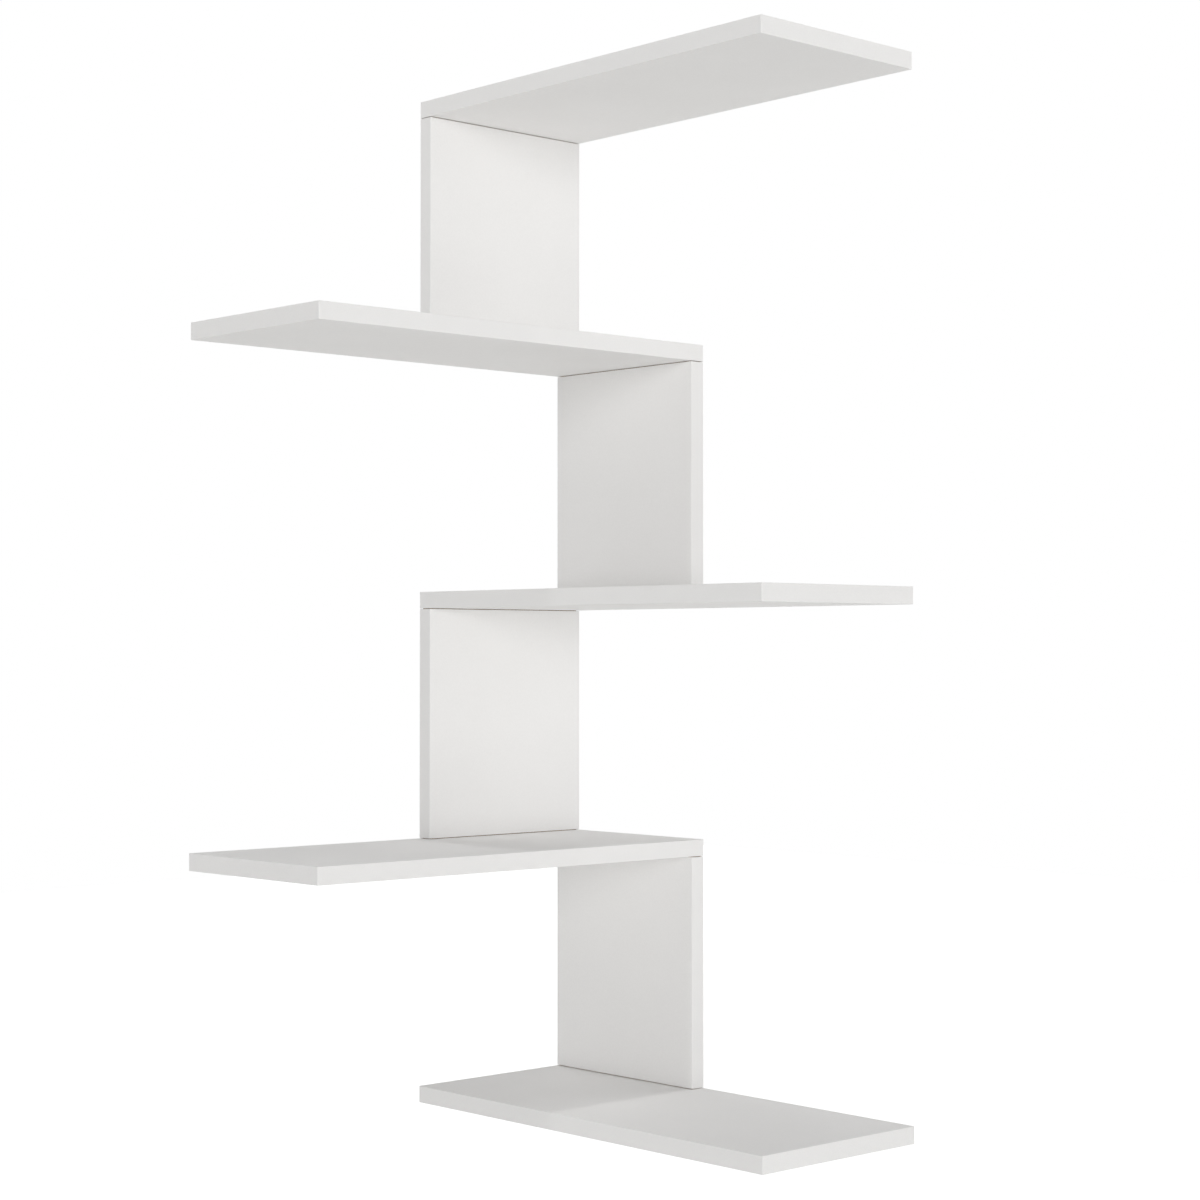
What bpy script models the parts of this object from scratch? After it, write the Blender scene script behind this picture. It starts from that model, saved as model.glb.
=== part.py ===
"""Corner wall shelf in white melamine-faced board.

Five shelves climb the corner of a room in steps. Odd ones lie along the right wall and even ones
along the left wall, and an upright stands between each shelf and the next, on alternate walls.
Cam fittings and dowels join the boards, and keyhole plates behind the uprights hang them on the walls.

Metres, +Z up. The origin is the corner of the two walls at the underside of the lowest shelf.
The right wall is the plane y = 0, the left wall is the plane x = 0, and the room is at +X, -Y.
"""

import math

import bmesh
import bpy
from mathutils import Matrix

# Boards
BOARD = 0.018
SHELF_LENGTH = 0.518
DEPTH = 0.220
SHELF_PITCH = 0.270
SEAT_GAP = 0.0003
ARRIS = 0.0006
UPRIGHT_HEIGHT = SHELF_PITCH - BOARD - SEAT_GAP - SEAT_GAP

# Room left round every fitting in its bore, and how far a cutter runs past the face it opens
FIT_GAP = 0.0003
OVERRUN = 0.002

# Cam fittings: from an upright's side and from its end to the cam's axis
FITTING_INSET = 0.035
CAM_REACH = 0.034

# Cam, a zinc drum that traps a bolt's ball: it reaches past the bolt's axis by CAM_BEYOND_BOLT
CAM_RADIUS = 0.0072
CAM_SINK = 0.0002
CAM_BEYOND_BOLT = 0.0037
CAM_CHAMFER = 0.0004
CAM_ROOF_GAP = 0.0004
CAM_SPIRAL_RISE = 0.0010
RECESS_LENGTH = 0.0074
RECESS_WIDTH = 0.0013
RECESS_DEPTH = 0.0026
ARROW_SIDE = 0.0022
ARROW_DEPTH = 0.0005

# Bolt, screwed into the shelf: collar on the shelf's face, shank, neck and ball
BALL_RADIUS = 0.0031
NECK_RADIUS = 0.0016
SHANK_RADIUS = 0.0030
COLLAR_RADIUS = 0.0036
COLLAR_HEIGHT = 0.0012
THREAD_RADIUS = 0.0024
THREAD_LENGTH = 0.0110
THREAD_POINT = 0.0012

# Dowel
DOWEL_RADIUS = 0.0039
DOWEL_LENGTH = 0.0300
DOWEL_IN_SHELF = 0.0110
DOWEL_CHAMFER = 0.0012
FLUTE_DEPTH = 0.0003

# Keyhole plate, flush in an upright's wall face, with room for the wall screw's head behind it
HANGER_BELOW_TOP = 0.080
PLATE_HALF_WIDTH = 0.0090
PLATE_STRAIGHT = 0.0300
PLATE_THICKNESS = 0.0018
PLATE_SINK = 0.0002
ENTRY_RADIUS = 0.0050
ENTRY_DROP = 0.0040
SLOT_HALF_WIDTH = 0.0025
SLOT_RISE = 0.0070
HEAD_ROOM = 0.0012
POCKET_FLOOR = 0.0060
PLATE_SCREW_SPREAD = 0.0170
PLATE_SCREW_RADIUS = 0.0018
COUNTERSINK_RADIUS = 0.0036
COUNTERSINK_DEPTH = 0.0014
PILOT_RADIUS = 0.0012
PILOT_DEPTH = 0.0070

# Sides of the round shapes, each even, the same on a piece and on its bore
CAM_SIDES = 16
BOLT_SIDES = 10
DOWEL_SIDES = 12
PLATE_SIDES = 16
PILOT_SIDES = 6
BALL_STEPS = 3

# Angle from the locked ball's neck, round the cam, to the ball's way in
ENTRY_ANGLE = math.radians(144)
SLOT_STEPS = 6
SHARP = math.radians(40)

LEFT, RIGHT = "left", "right"
SHELF_WALLS = (RIGHT, LEFT, RIGHT, LEFT, RIGHT)
UPRIGHT_WALLS = (LEFT, RIGHT, LEFT, RIGHT)
HEAD, FOOT = "head", "foot"

# Mirrors the left wall's side of the room onto the right wall's
IN_CORNER = Matrix(((0, -1, 0, 0), (-1, 0, 0, 0), (0, 0, 1, 0), (0, 0, 0, 1)))


def clear_scene():
    for thing in list(bpy.data.objects):
        bpy.data.objects.remove(thing, do_unlink=True)


def material(name, colour, roughness, metallic):
    made = bpy.data.materials.new(name)
    made.use_nodes = True
    shader = made.node_tree.nodes["Principled BSDF"]
    shader.inputs["Base Color"].default_value = (*colour, 1)
    shader.inputs["Roughness"].default_value = roughness
    shader.inputs["Metallic"].default_value = metallic
    made.diffuse_color = (*colour, 1)
    return made


def mesh_from(name, shape):
    """Turns a bmesh into a mesh with outward faces, smooth where it is round."""
    bmesh.ops.recalc_face_normals(shape, faces=shape.faces)
    mesh = bpy.data.meshes.new(name)
    shape.to_mesh(mesh)
    shape.free()
    shade(mesh)
    return mesh


def shade(mesh):
    mesh.shade_smooth()
    mesh.set_sharp_from_angle(angle=SHARP)


def place(name, mesh, matrix, finish=None, parent=None):
    """Adds an object at a matrix in its parent's space."""
    made = bpy.data.objects.new(name, mesh)
    bpy.context.scene.collection.objects.link(made)
    made.parent = parent
    made.matrix_local = matrix
    if finish:
        mesh.materials.clear()
        mesh.materials.append(finish)
    return made


def move(x=0, y=0, z=0):
    return Matrix.Translation((x, y, z))


def turn(degrees, axis):
    return Matrix.Rotation(math.radians(degrees), 4, axis)


def add_box(shape, low, high):
    """Adds a box between two corners and returns its corners."""
    made = bmesh.ops.create_cube(shape, size=1)["verts"]
    for corner in made:
        for axis in range(3):
            corner.co[axis] = high[axis] if corner.co[axis] > 0 else low[axis]
    return made


def add_drum(shape, matrix, radius, low, high, sides, top_radius=None):
    """Adds a round drum along the matrix's Z from low to high, a cone if its top differs."""
    ends = ((low, radius), (high, radius if top_radius is None else top_radius))
    add_rings(shape, [ring(matrix, end, size, sides) for end, size in ends])


def ring(matrix, height, radius, sides, flute=0):
    """Points round the matrix's Z at a height, every other one drawn in by the flute's depth."""
    points = []
    for index in range(sides):
        angle = 2 * math.pi * (index + 0.5) / sides
        reach = radius - flute * (index % 2)
        points.append(matrix @ move(reach * math.cos(angle), reach * math.sin(angle), height).translation)
    return points


def add_rings(shape, rings):
    """Skins a stack of rings, which have as many points each, and closes both ends."""
    loops = [[shape.verts.new(point) for point in points] for points in rings]
    for lower, upper in zip(loops, loops[1:]):
        for index in range(len(lower)):
            after = (index + 1) % len(lower)
            shape.faces.new((lower[index], lower[after], upper[after], upper[index]))
    shape.faces.new(loops[0][::-1])
    shape.faces.new(loops[-1])


def add_prism(shape, matrix, outline, low, high):
    """Adds an outline in the matrix's XY plane, extruded along its Z from low to high."""
    add_rings(shape, [[matrix @ move(x, y, z).translation for x, y in outline] for z in (low, high)])


def stadium(half_width, low, high, sides):
    """An upright slot's outline, with a half circle round each of two centres on the Y axis."""
    points = []
    for index in range(sides + 2):
        top = index <= sides // 2
        step = index if top else index - 1
        angle = 2 * math.pi * step / sides
        centre = high if top else low
        points.append((half_width * math.cos(angle), centre + half_width * math.sin(angle)))
    return points


def carved(name, blank, cutters):
    """The mesh of a blank with the cutters taken out of it."""
    body = place(name + "_blank", mesh_from(name + "_blank", blank), Matrix())
    helpers = [body]
    for index, cutter in enumerate(cutters):
        tool = place(f"{name}_cutter_{index}", mesh_from(f"{name}_cutter_{index}", cutter), Matrix())
        tool.hide_render = True
        tool.display_type = "WIRE"
        cut = body.modifiers.new(tool.name, "BOOLEAN")
        cut.operation = "DIFFERENCE"
        cut.solver = "EXACT"
        cut.object = tool
        helpers.append(tool)
    graph = bpy.context.evaluated_depsgraph_get()
    mesh = bpy.data.meshes.new_from_object(body.evaluated_get(graph))
    mesh.name = name
    for helper in helpers:
        bpy.data.objects.remove(helper, do_unlink=True)
    shade(mesh)
    return mesh


def fitting_places():
    """Distances along an upright's foot to its cams and its dowel, by name."""
    return {"first": FITTING_INSET, "middle": DEPTH / 2, "last": DEPTH - FITTING_INSET}


def joint_frame(end, along):
    """In an upright's space, a frame on the shelf's face with Z pointing into the upright."""
    if end == FOOT:
        return move(along, BOARD / 2, -SEAT_GAP)
    return move(along, BOARD / 2, UPRIGHT_HEIGHT + SEAT_GAP) @ turn(180, "Y")


def cam_frame(joint):
    """The cam's own frame: Z comes out of the wall face and Y points to the shelf."""
    lift = SEAT_GAP + CAM_REACH
    return joint @ move(0, CAM_SINK - BOARD / 2, lift) @ turn(90, "X") @ turn(180, "Z")


def hanger_frame():
    """In an upright's space, the keyhole plate's frame: Z comes out of the wall face, Y is up."""
    return move(DEPTH / 2, 0, UPRIGHT_HEIGHT - HANGER_BELOW_TOP) @ turn(90, "X")


def cam_height():
    return BOARD / 2 - CAM_SINK + CAM_BEYOND_BOLT


def pocket_depth():
    return BOARD - POCKET_FLOOR


def upright_frame(index):
    """Where an upright stands: its X runs along its foot and its Y comes off the wall."""
    lift = (len(SHELF_WALLS) - 2 - index) * SHELF_PITCH + BOARD + SEAT_GAP
    if UPRIGHT_WALLS[index] == LEFT:
        return move(z=lift) @ turn(-90, "Z")
    return move(DEPTH, 0, lift) @ turn(180, "Z")


def upright_mesh():
    """Board with banded sides, bored for its fittings and pocketed for its keyhole plate."""
    blank = bmesh.new()
    corners = add_box(blank, (0, 0, 0), (DEPTH, BOARD, UPRIGHT_HEIGHT))
    uprights = {edge for corner in corners for edge in corner.link_edges}
    sides = [edge for edge in uprights if edge.verts[0].co.x == edge.verts[1].co.x
             and edge.verts[0].co.y == edge.verts[1].co.y]
    bmesh.ops.bevel(blank, geom=sides, offset=ARRIS, segments=2, profile=0.5, affect="EDGES")

    from_wall, from_ends = bmesh.new(), bmesh.new()
    for end in (HEAD, FOOT):
        for spot, along in fitting_places().items():
            joint = joint_frame(end, along)
            if spot == "middle":
                depth = DOWEL_LENGTH - DOWEL_IN_SHELF + FIT_GAP
                add_drum(from_ends, joint, DOWEL_RADIUS + FIT_GAP, -OVERRUN, depth, DOWEL_SIDES)
                continue
            add_drum(from_ends, joint, COLLAR_RADIUS + FIT_GAP, -OVERRUN, SEAT_GAP + CAM_REACH, BOLT_SIDES)
            floor = -cam_height() - FIT_GAP
            add_drum(from_wall, cam_frame(joint), CAM_RADIUS + FIT_GAP, floor, OVERRUN, CAM_SIDES)
    cut_hanger_seat(from_wall, from_ends)
    return carved("upright", blank, (from_wall, from_ends))


def cut_hanger_seat(shallow, deep):
    """Adds the plate's recess to one cutter, and the screw head's pocket and the pilots to another."""
    seat = hanger_frame()
    half = PLATE_STRAIGHT / 2
    recess = stadium(PLATE_HALF_WIDTH + FIT_GAP, -half, half, PLATE_SIDES)
    recess_depth = PLATE_SINK + PLATE_THICKNESS + FIT_GAP
    add_prism(shallow, seat, recess, -recess_depth, OVERRUN)
    pocket = stadium(ENTRY_RADIUS + HEAD_ROOM, -ENTRY_DROP, SLOT_RISE, PLATE_SIDES)
    add_prism(deep, seat, pocket, -pocket_depth(), OVERRUN)
    for side in (-1, 1):
        spot = seat @ move(y=side * PLATE_SCREW_SPREAD)
        add_drum(deep, spot, PILOT_RADIUS, -recess_depth - PILOT_DEPTH, OVERRUN, PILOT_SIDES)


def shelf_mesh(name, wall, joints):
    """Board banded along its front and its free end, and bored for the given joints.

    It is drawn along the left wall. A shelf of the right wall is its mirror image in the corner.
    """
    blank = bmesh.new()
    corners = add_box(blank, (0, -SHELF_LENGTH, 0), (DEPTH, 0, BOARD))
    edges = {edge for corner in corners for edge in corner.link_edges}
    banded = [edge for edge in edges if any(
        all(abs(corner.co[axis] - side) < ARRIS for corner in edge.verts)
        for axis, side in ((0, DEPTH), (1, -SHELF_LENGTH)))]
    bmesh.ops.bevel(blank, geom=banded, offset=ARRIS, segments=2, profile=0.5, affect="EDGES")

    hand = IN_CORNER if wall == RIGHT else Matrix()
    bores = bmesh.new()
    for spot, joint in joints:
        if spot == "middle":
            depth = DOWEL_IN_SHELF + FIT_GAP
            add_drum(bores, hand @ joint, DOWEL_RADIUS + FIT_GAP, -depth, OVERRUN, DOWEL_SIDES)
        else:
            depth = THREAD_LENGTH + FIT_GAP
            add_drum(bores, hand @ joint, THREAD_RADIUS + FIT_GAP, -depth, OVERRUN, BOLT_SIDES)
    mesh = carved(name, blank, (bores,))
    if wall == RIGHT:
        mesh.transform(IN_CORNER)
        mesh.flip_normals()
    return mesh


def shelf_joints(index):
    """Joint frames in a shelf's space: the foot of the upright on it and the head of the one below."""
    to_shelf = shelf_frame(index).inverted()
    found = []
    for upright, end in ((index - 1, FOOT), (index, HEAD)):
        if 0 <= upright < len(UPRIGHT_WALLS):
            for spot, along in fitting_places().items():
                found.append((spot, to_shelf @ upright_frame(upright) @ joint_frame(end, along)))
    return found


def shelf_frame(index):
    return move(z=(len(SHELF_WALLS) - 1 - index) * SHELF_PITCH)


def cam_mesh():
    """Drum whose hollow opens below and to one side, with a narrow slot that runs round from there.

    The ball enters at the side opening. As the cam turns, the neck runs along the slot, and the
    hollow's wall, a spiral, draws the ball inwards behind the two claws that the slot leaves.
    """
    top, bottom = 0, -cam_height()
    drum = bmesh.new()
    heights = ((bottom, CAM_RADIUS - CAM_CHAMFER), (bottom + CAM_CHAMFER, CAM_RADIUS),
               (top - CAM_CHAMFER, CAM_RADIUS), (top, CAM_RADIUS - CAM_CHAMFER))
    add_rings(drum, [ring(Matrix(), height, radius, CAM_SIDES) for height, radius in heights])

    bolt_axis = CAM_SINK - BOARD / 2
    roof = bolt_axis + BALL_RADIUS + CAM_ROOF_GAP
    hollow, slot, entry, marks = (bmesh.new() for _ in range(4))
    add_prism(hollow, Matrix(), spiral_outline(), bottom - OVERRUN, roof)
    half_slot = NECK_RADIUS + FIT_GAP
    add_prism(slot, Matrix(), slot_outline(half_slot), bolt_axis - half_slot, bolt_axis + half_slot)
    half_entry = BALL_RADIUS + FIT_GAP
    towards = turn(math.degrees(ENTRY_ANGLE), "Z")
    way_in = ((-half_entry, 0), (half_entry, 0), (half_entry, CAM_RADIUS + OVERRUN),
              (-half_entry, CAM_RADIUS + OVERRUN))
    add_prism(entry, towards, way_in, bottom - OVERRUN, roof)
    for half_x, half_y in ((RECESS_LENGTH / 2, RECESS_WIDTH / 2), (RECESS_WIDTH / 2, RECESS_LENGTH / 2)):
        bar = ((-half_x, -half_y), (half_x, -half_y), (half_x, half_y), (-half_x, half_y))
        add_prism(slot if half_x > half_y else hollow, Matrix(), bar, top - RECESS_DEPTH, OVERRUN)
    tip = CAM_RADIUS - CAM_CHAMFER - ARROW_DEPTH
    arrow = ((-ARROW_SIDE / 2, tip - ARROW_SIDE), (ARROW_SIDE / 2, tip - ARROW_SIDE), (0, tip))
    add_prism(marks, towards, arrow, top - ARROW_DEPTH, OVERRUN)
    return carved("cam", drum, (hollow, slot, entry, marks))


def cam_point(angle, radius):
    """A point at an angle from the bolt's direction, which is the cam's Y."""
    return (-radius * math.sin(angle), radius * math.cos(angle))


def spiral_outline():
    """The hollow seen along the cam's axis: it widens from the locked ball to the way in."""
    least = BALL_RADIUS + FIT_GAP
    points = []
    for index in range(CAM_SIDES):
        angle = 2 * math.pi * index / CAM_SIDES
        along = angle / ENTRY_ANGLE if angle <= ENTRY_ANGLE else 0
        points.append(cam_point(angle, least + CAM_SPIRAL_RISE * along))
    return points


def slot_outline(half_slot):
    """The neck's slot seen along the cam's axis: a fan from just past the bolt to the way in."""
    outside = CAM_RADIUS + OVERRUN
    points = [(0, 0), (half_slot, 0), (half_slot, outside)]
    for index in range(SLOT_STEPS + 1):
        points.append(cam_point(ENTRY_ANGLE * index / SLOT_STEPS, outside))
    return points


def bolt_mesh():
    """Turned bolt along Z from its point in the shelf to its ball in the cam."""
    centre = SEAT_GAP + CAM_REACH
    neck_start = centre - CAM_RADIUS - FIT_GAP
    shank_end = neck_start - SHANK_RADIUS + NECK_RADIUS
    collar_top = SEAT_GAP + COLLAR_HEIGHT
    point_radius = THREAD_RADIUS - THREAD_POINT
    profile = [(-THREAD_LENGTH, point_radius), (THREAD_POINT - THREAD_LENGTH, THREAD_RADIUS),
               (SEAT_GAP, THREAD_RADIUS), (SEAT_GAP, COLLAR_RADIUS), (collar_top, COLLAR_RADIUS),
               (collar_top, SHANK_RADIUS), (shank_end, SHANK_RADIUS), (neck_start, NECK_RADIUS)]
    joins = math.asin(NECK_RADIUS / BALL_RADIUS)
    for step in range(BALL_STEPS + 1):
        angle = math.pi - joins - step * (math.pi - 2 * joins) / BALL_STEPS
        profile.append((centre + BALL_RADIUS * math.cos(angle), BALL_RADIUS * math.sin(angle)))
    shape = bmesh.new()
    add_rings(shape, [ring(Matrix(), height, radius, BOLT_SIDES) for height, radius in profile])
    return mesh_from("bolt", shape)


def dowel_mesh():
    """Fluted beech dowel along Z, with chamfered ends."""
    low, high = -DOWEL_IN_SHELF, DOWEL_LENGTH - DOWEL_IN_SHELF
    end_radius = DOWEL_RADIUS - DOWEL_CHAMFER
    stations = ((low, end_radius, 0), (low + DOWEL_CHAMFER, DOWEL_RADIUS, FLUTE_DEPTH),
                (high - DOWEL_CHAMFER, DOWEL_RADIUS, FLUTE_DEPTH), (high, end_radius, 0))
    shape = bmesh.new()
    add_rings(shape, [ring(Matrix(), height, radius, DOWEL_SIDES, flute)
                      for height, radius, flute in stations])
    return mesh_from("dowel", shape)


def hanger_mesh():
    """Steel plate with round ends, a keyhole and two countersunk screw holes."""
    half = PLATE_STRAIGHT / 2
    back, front = -PLATE_SINK - PLATE_THICKNESS, -PLATE_SINK
    plate = bmesh.new()
    add_prism(plate, Matrix(), stadium(PLATE_HALF_WIDTH, -half, half, PLATE_SIDES), back, front)
    rounds, slots = bmesh.new(), bmesh.new()
    past, before = front + OVERRUN, back - OVERRUN
    add_drum(rounds, move(y=-ENTRY_DROP), ENTRY_RADIUS, before, past, PLATE_SIDES)
    add_prism(slots, Matrix(), stadium(SLOT_HALF_WIDTH, -ENTRY_DROP, SLOT_RISE, PLATE_SIDES), before, past)
    for side in (-1, 1):
        spot = move(y=side * PLATE_SCREW_SPREAD)
        add_drum(rounds, spot, PLATE_SCREW_RADIUS, before, past, PLATE_SIDES)
        slope = (COUNTERSINK_RADIUS - PLATE_SCREW_RADIUS) / COUNTERSINK_DEPTH
        mouth = COUNTERSINK_RADIUS + slope * OVERRUN
        add_drum(slots, spot, PLATE_SCREW_RADIUS, front - COUNTERSINK_DEPTH, past, PLATE_SIDES, mouth)
    return carved("hanger", plate, (rounds, slots))


def side_names(wall):
    """Which of an upright's two cams is by the corner and which at the front, for each wall."""
    return {"first": "corner", "last": "front"} if wall == LEFT else {"first": "front", "last": "corner"}


def build_uprights(white, zinc, steel, beech):
    upright, cam, bolt, dowel, hanger = upright_mesh(), cam_mesh(), bolt_mesh(), dowel_mesh(), hanger_mesh()
    for index, wall in enumerate(UPRIGHT_WALLS):
        number = index + 1
        board = place(f"upright_{number}", upright, upright_frame(index), white)
        place(f"hanger_{number}", hanger, hanger_frame(), steel, board)
        for end in (HEAD, FOOT):
            for spot, along in fitting_places().items():
                joint = joint_frame(end, along)
                if spot == "middle":
                    place(f"dowel_{number}_{end}", dowel, joint, beech, board)
                    continue
                side = side_names(wall)[spot]
                place(f"cam_{number}_{end}_{side}", cam, cam_frame(joint), zinc, board)
                place(f"bolt_{number}_{end}_{side}", bolt, joint, steel, board)


def build_shelves(white):
    for index, wall in enumerate(SHELF_WALLS):
        name = f"shelf_{index + 1}"
        place(name, shelf_mesh(name, wall, shelf_joints(index)), shelf_frame(index), white)


def main():
    clear_scene()
    white = material("white_melamine", (0.83, 0.82, 0.80), 0.5, 0)
    zinc = material("zinc_casting", (0.60, 0.60, 0.61), 0.45, 1)
    steel = material("zinc_plated_steel", (0.70, 0.70, 0.69), 0.35, 1)
    beech = material("beech", (0.62, 0.43, 0.25), 0.7, 0)
    build_shelves(white)
    build_uprights(white, zinc, steel, beech)


main()
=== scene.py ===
"""Finish of a corner wall shelf in white melamine-faced board.

Run as a script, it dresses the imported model. Every board, edge band, fitting and screw is modelled
where the frame has it, and the shelf then stands in a plain white studio. Metres, +Z up: the right
wall is the plane y = 0, the left wall is the plane x = 0, and the room is at +X, -Y.
"""

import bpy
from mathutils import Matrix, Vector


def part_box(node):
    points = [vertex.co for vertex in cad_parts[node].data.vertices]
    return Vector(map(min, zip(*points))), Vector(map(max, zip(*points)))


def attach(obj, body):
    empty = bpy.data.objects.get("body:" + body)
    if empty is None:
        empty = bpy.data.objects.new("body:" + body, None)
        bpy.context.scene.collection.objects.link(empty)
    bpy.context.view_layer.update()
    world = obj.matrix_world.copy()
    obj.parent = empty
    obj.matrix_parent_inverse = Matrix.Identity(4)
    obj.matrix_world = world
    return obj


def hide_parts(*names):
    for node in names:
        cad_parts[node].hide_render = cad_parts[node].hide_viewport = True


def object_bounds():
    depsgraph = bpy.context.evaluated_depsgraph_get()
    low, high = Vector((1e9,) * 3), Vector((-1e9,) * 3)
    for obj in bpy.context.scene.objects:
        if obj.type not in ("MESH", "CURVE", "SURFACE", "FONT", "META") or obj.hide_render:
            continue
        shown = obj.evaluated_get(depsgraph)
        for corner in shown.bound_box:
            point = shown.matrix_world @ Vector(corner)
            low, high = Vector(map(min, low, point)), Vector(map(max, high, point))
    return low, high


bl_info = {
    "name": "Corner wall shelf",
    "version": (1, 0, 0),
    "blender": (4, 5, 0),
    "location": "View3D > Sidebar > Wall shelf",
    "description": "Models the boards and fittings of a corner wall shelf and lights them",
    "category": "Object",
}

import math
from itertools import product

import bmesh
import bpy
from bpy.props import FloatProperty, FloatVectorProperty, IntProperty, PointerProperty
from mathutils import Matrix, Vector

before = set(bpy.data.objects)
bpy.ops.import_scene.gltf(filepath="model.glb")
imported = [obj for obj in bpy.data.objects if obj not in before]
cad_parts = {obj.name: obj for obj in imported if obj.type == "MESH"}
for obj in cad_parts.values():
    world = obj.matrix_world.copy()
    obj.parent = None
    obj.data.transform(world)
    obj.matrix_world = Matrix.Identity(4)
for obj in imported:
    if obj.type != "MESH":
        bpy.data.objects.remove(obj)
CAD_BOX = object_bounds()

LEFT, RIGHT = "left", "right"
HEAD, FOOT = "head", "foot"
ENDS = (HEAD, FOOT)
SIDES = ("corner", "front")
BODY = "root"
SHELF_COUNT, UPRIGHT_COUNT = 5, 4
SHELVES = range(1, SHELF_COUNT + 1)
UPRIGHTS = range(1, UPRIGHT_COUNT + 1)
X, Y, Z = range(3)

BOARD_SLOT, CAM_SLOT, STEEL_SLOT, DOWEL_SLOT = "white_board", "zinc_casting", "plated_steel", "beech"

# Half a turn, the angles past which an edge stays sharp, and the angle past which one is bevelled
HALF_TURN = math.pi
SHARP = math.radians(30)
SHARP_FLUTE = math.radians(20)
BEVELLED = math.radians(35)

# How far a cutter runs past the face it opens, how near places and corners count as one, and below
# which part of Z in its normal a face looks down
OVERRUN = 0.002
NEAR = 0.00001
MERGE = 0.000003
DOWNWARD = -0.5

# Facets round pieces and cutters, from fine to coarse, and the steps of the curves in them
FINE_FACETS, ROUND_FACETS, BOLT_FACETS, BORE_FACETS, PILOT_FACETS, TRIANGLE = 64, 48, 40, 32, 24, 3
SPIRAL_STEPS, FAN_STEPS, BALL_STEPS = 60, 12, 12

# Faces across the ease on a sawn edge, on an upright's end and on a plate
SAWN_STEPS, EASE_STEPS, PLATE_STEPS = 1, 2, 2

# A thread's ridge: its root in shares of the core, half its width and its run-out in shares of the pitch
RIDGE_ROOT = 0.92
RIDGE_HALF_WIDTH = 0.36
RIDGE_RUN_OUT = 0.04

# How much a cross recess narrows, and how far the arrow's middle lies from its tip, in shares of
# its size
CROSS_TAPER = 0.72
ARROW_MIDDLE = 0.6

# The bolt's tip in shares of its core, and where its thread starts and ends in shares of the pitch
BOLT_TIP, BOLT_TIP_RISE = 0.35, 0.6
BOLT_THREAD_START, BOLT_THREAD_END = 0.8, 0.2

# Facets from one flute of a dowel to the next, and the inset of its ends in shares of the chamfer
FLUTE_FACETS = 4
DOWEL_END = 0.7

# The plate screw's tip in shares of its core, its neck in shares of the hole, the ease and the height of
# its crown in shares of the crown, and its crown's flat and its cross in shares of the head
SCREW_TIP, SCREW_TIP_RISE, SCREW_NECK = 0.25, 2.0, 0.8
CROWN_EASE, CROWN_RISE, CROWN_FLAT = 0.5, 1.6, 0.75
CROSS_LENGTH, CROSS_WIDTH, CROSS_DEPTH = 1.15, 0.26, 0.55

# Each plate screw's side of the plate and its turn in degrees, and how much further the screws of
# each next upright are turned
SCREW_TURNS = {"lower": (-1, 25), "upper": (1, 70)}
TURN_PER_UPRIGHT = 37


def box_size(name):
    low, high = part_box(name)
    return high - low


BOARD = box_size("shelf_1").z
DEPTH = box_size("upright_1").y
PLATE = box_size("hanger_1")
DOWEL = box_size("dowel_1_foot")

# The planes of an upright's two faces, in its own frame
FACES = ((Y, 0), (Y, BOARD))


def length(name, description, default):
    return FloatProperty(name=name, description=description, default=default, unit="LENGTH", precision=5)


def share(name, description, default):
    return FloatProperty(name=name, description=description, default=default, min=0, max=1,
                         subtype="FACTOR")


def colour(name, description, default):
    return FloatVectorProperty(name=name, description=description, default=default, size=3, min=0, max=1,
                               subtype="COLOR")


def angled(name, description, degrees):
    return FloatProperty(name=name, description=description, default=math.radians(degrees),
                         subtype="ANGLE")


class WALLSHELF_PG_boards(bpy.types.PropertyGroup):
    """Sizes of the boards' faces, bands and edges."""

    skin: length("Melamine", "Thickness of the melamine on each face", 0.0002)
    band: length("Edge band", "Thickness of the edge bands", 0.0010)
    seam: length("Band seam", "Glue line between a band and its board", 0.00003)
    arris: length("Arris", "Radius of the bands' long edges", 0.0006)
    eased: length("Eased end", "Width of the ease on the uprights' ends", 0.0003)
    relief: length("Joint relief", "How far the rim of an upright's end lies back", 0.0004)
    rim: length("Joint rim", "Width of the rim round an upright's end", 0.0020)
    contact: length("Joint contact", "Room left where an upright's end bears on a shelf", 0.00002)
    sawn: length("Sawn edge", "Width of the ease on edges without a band", 0.00012)
    arris_steps: IntProperty(name="Arris steps", description="Faces across a rounded arris", default=4)


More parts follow.
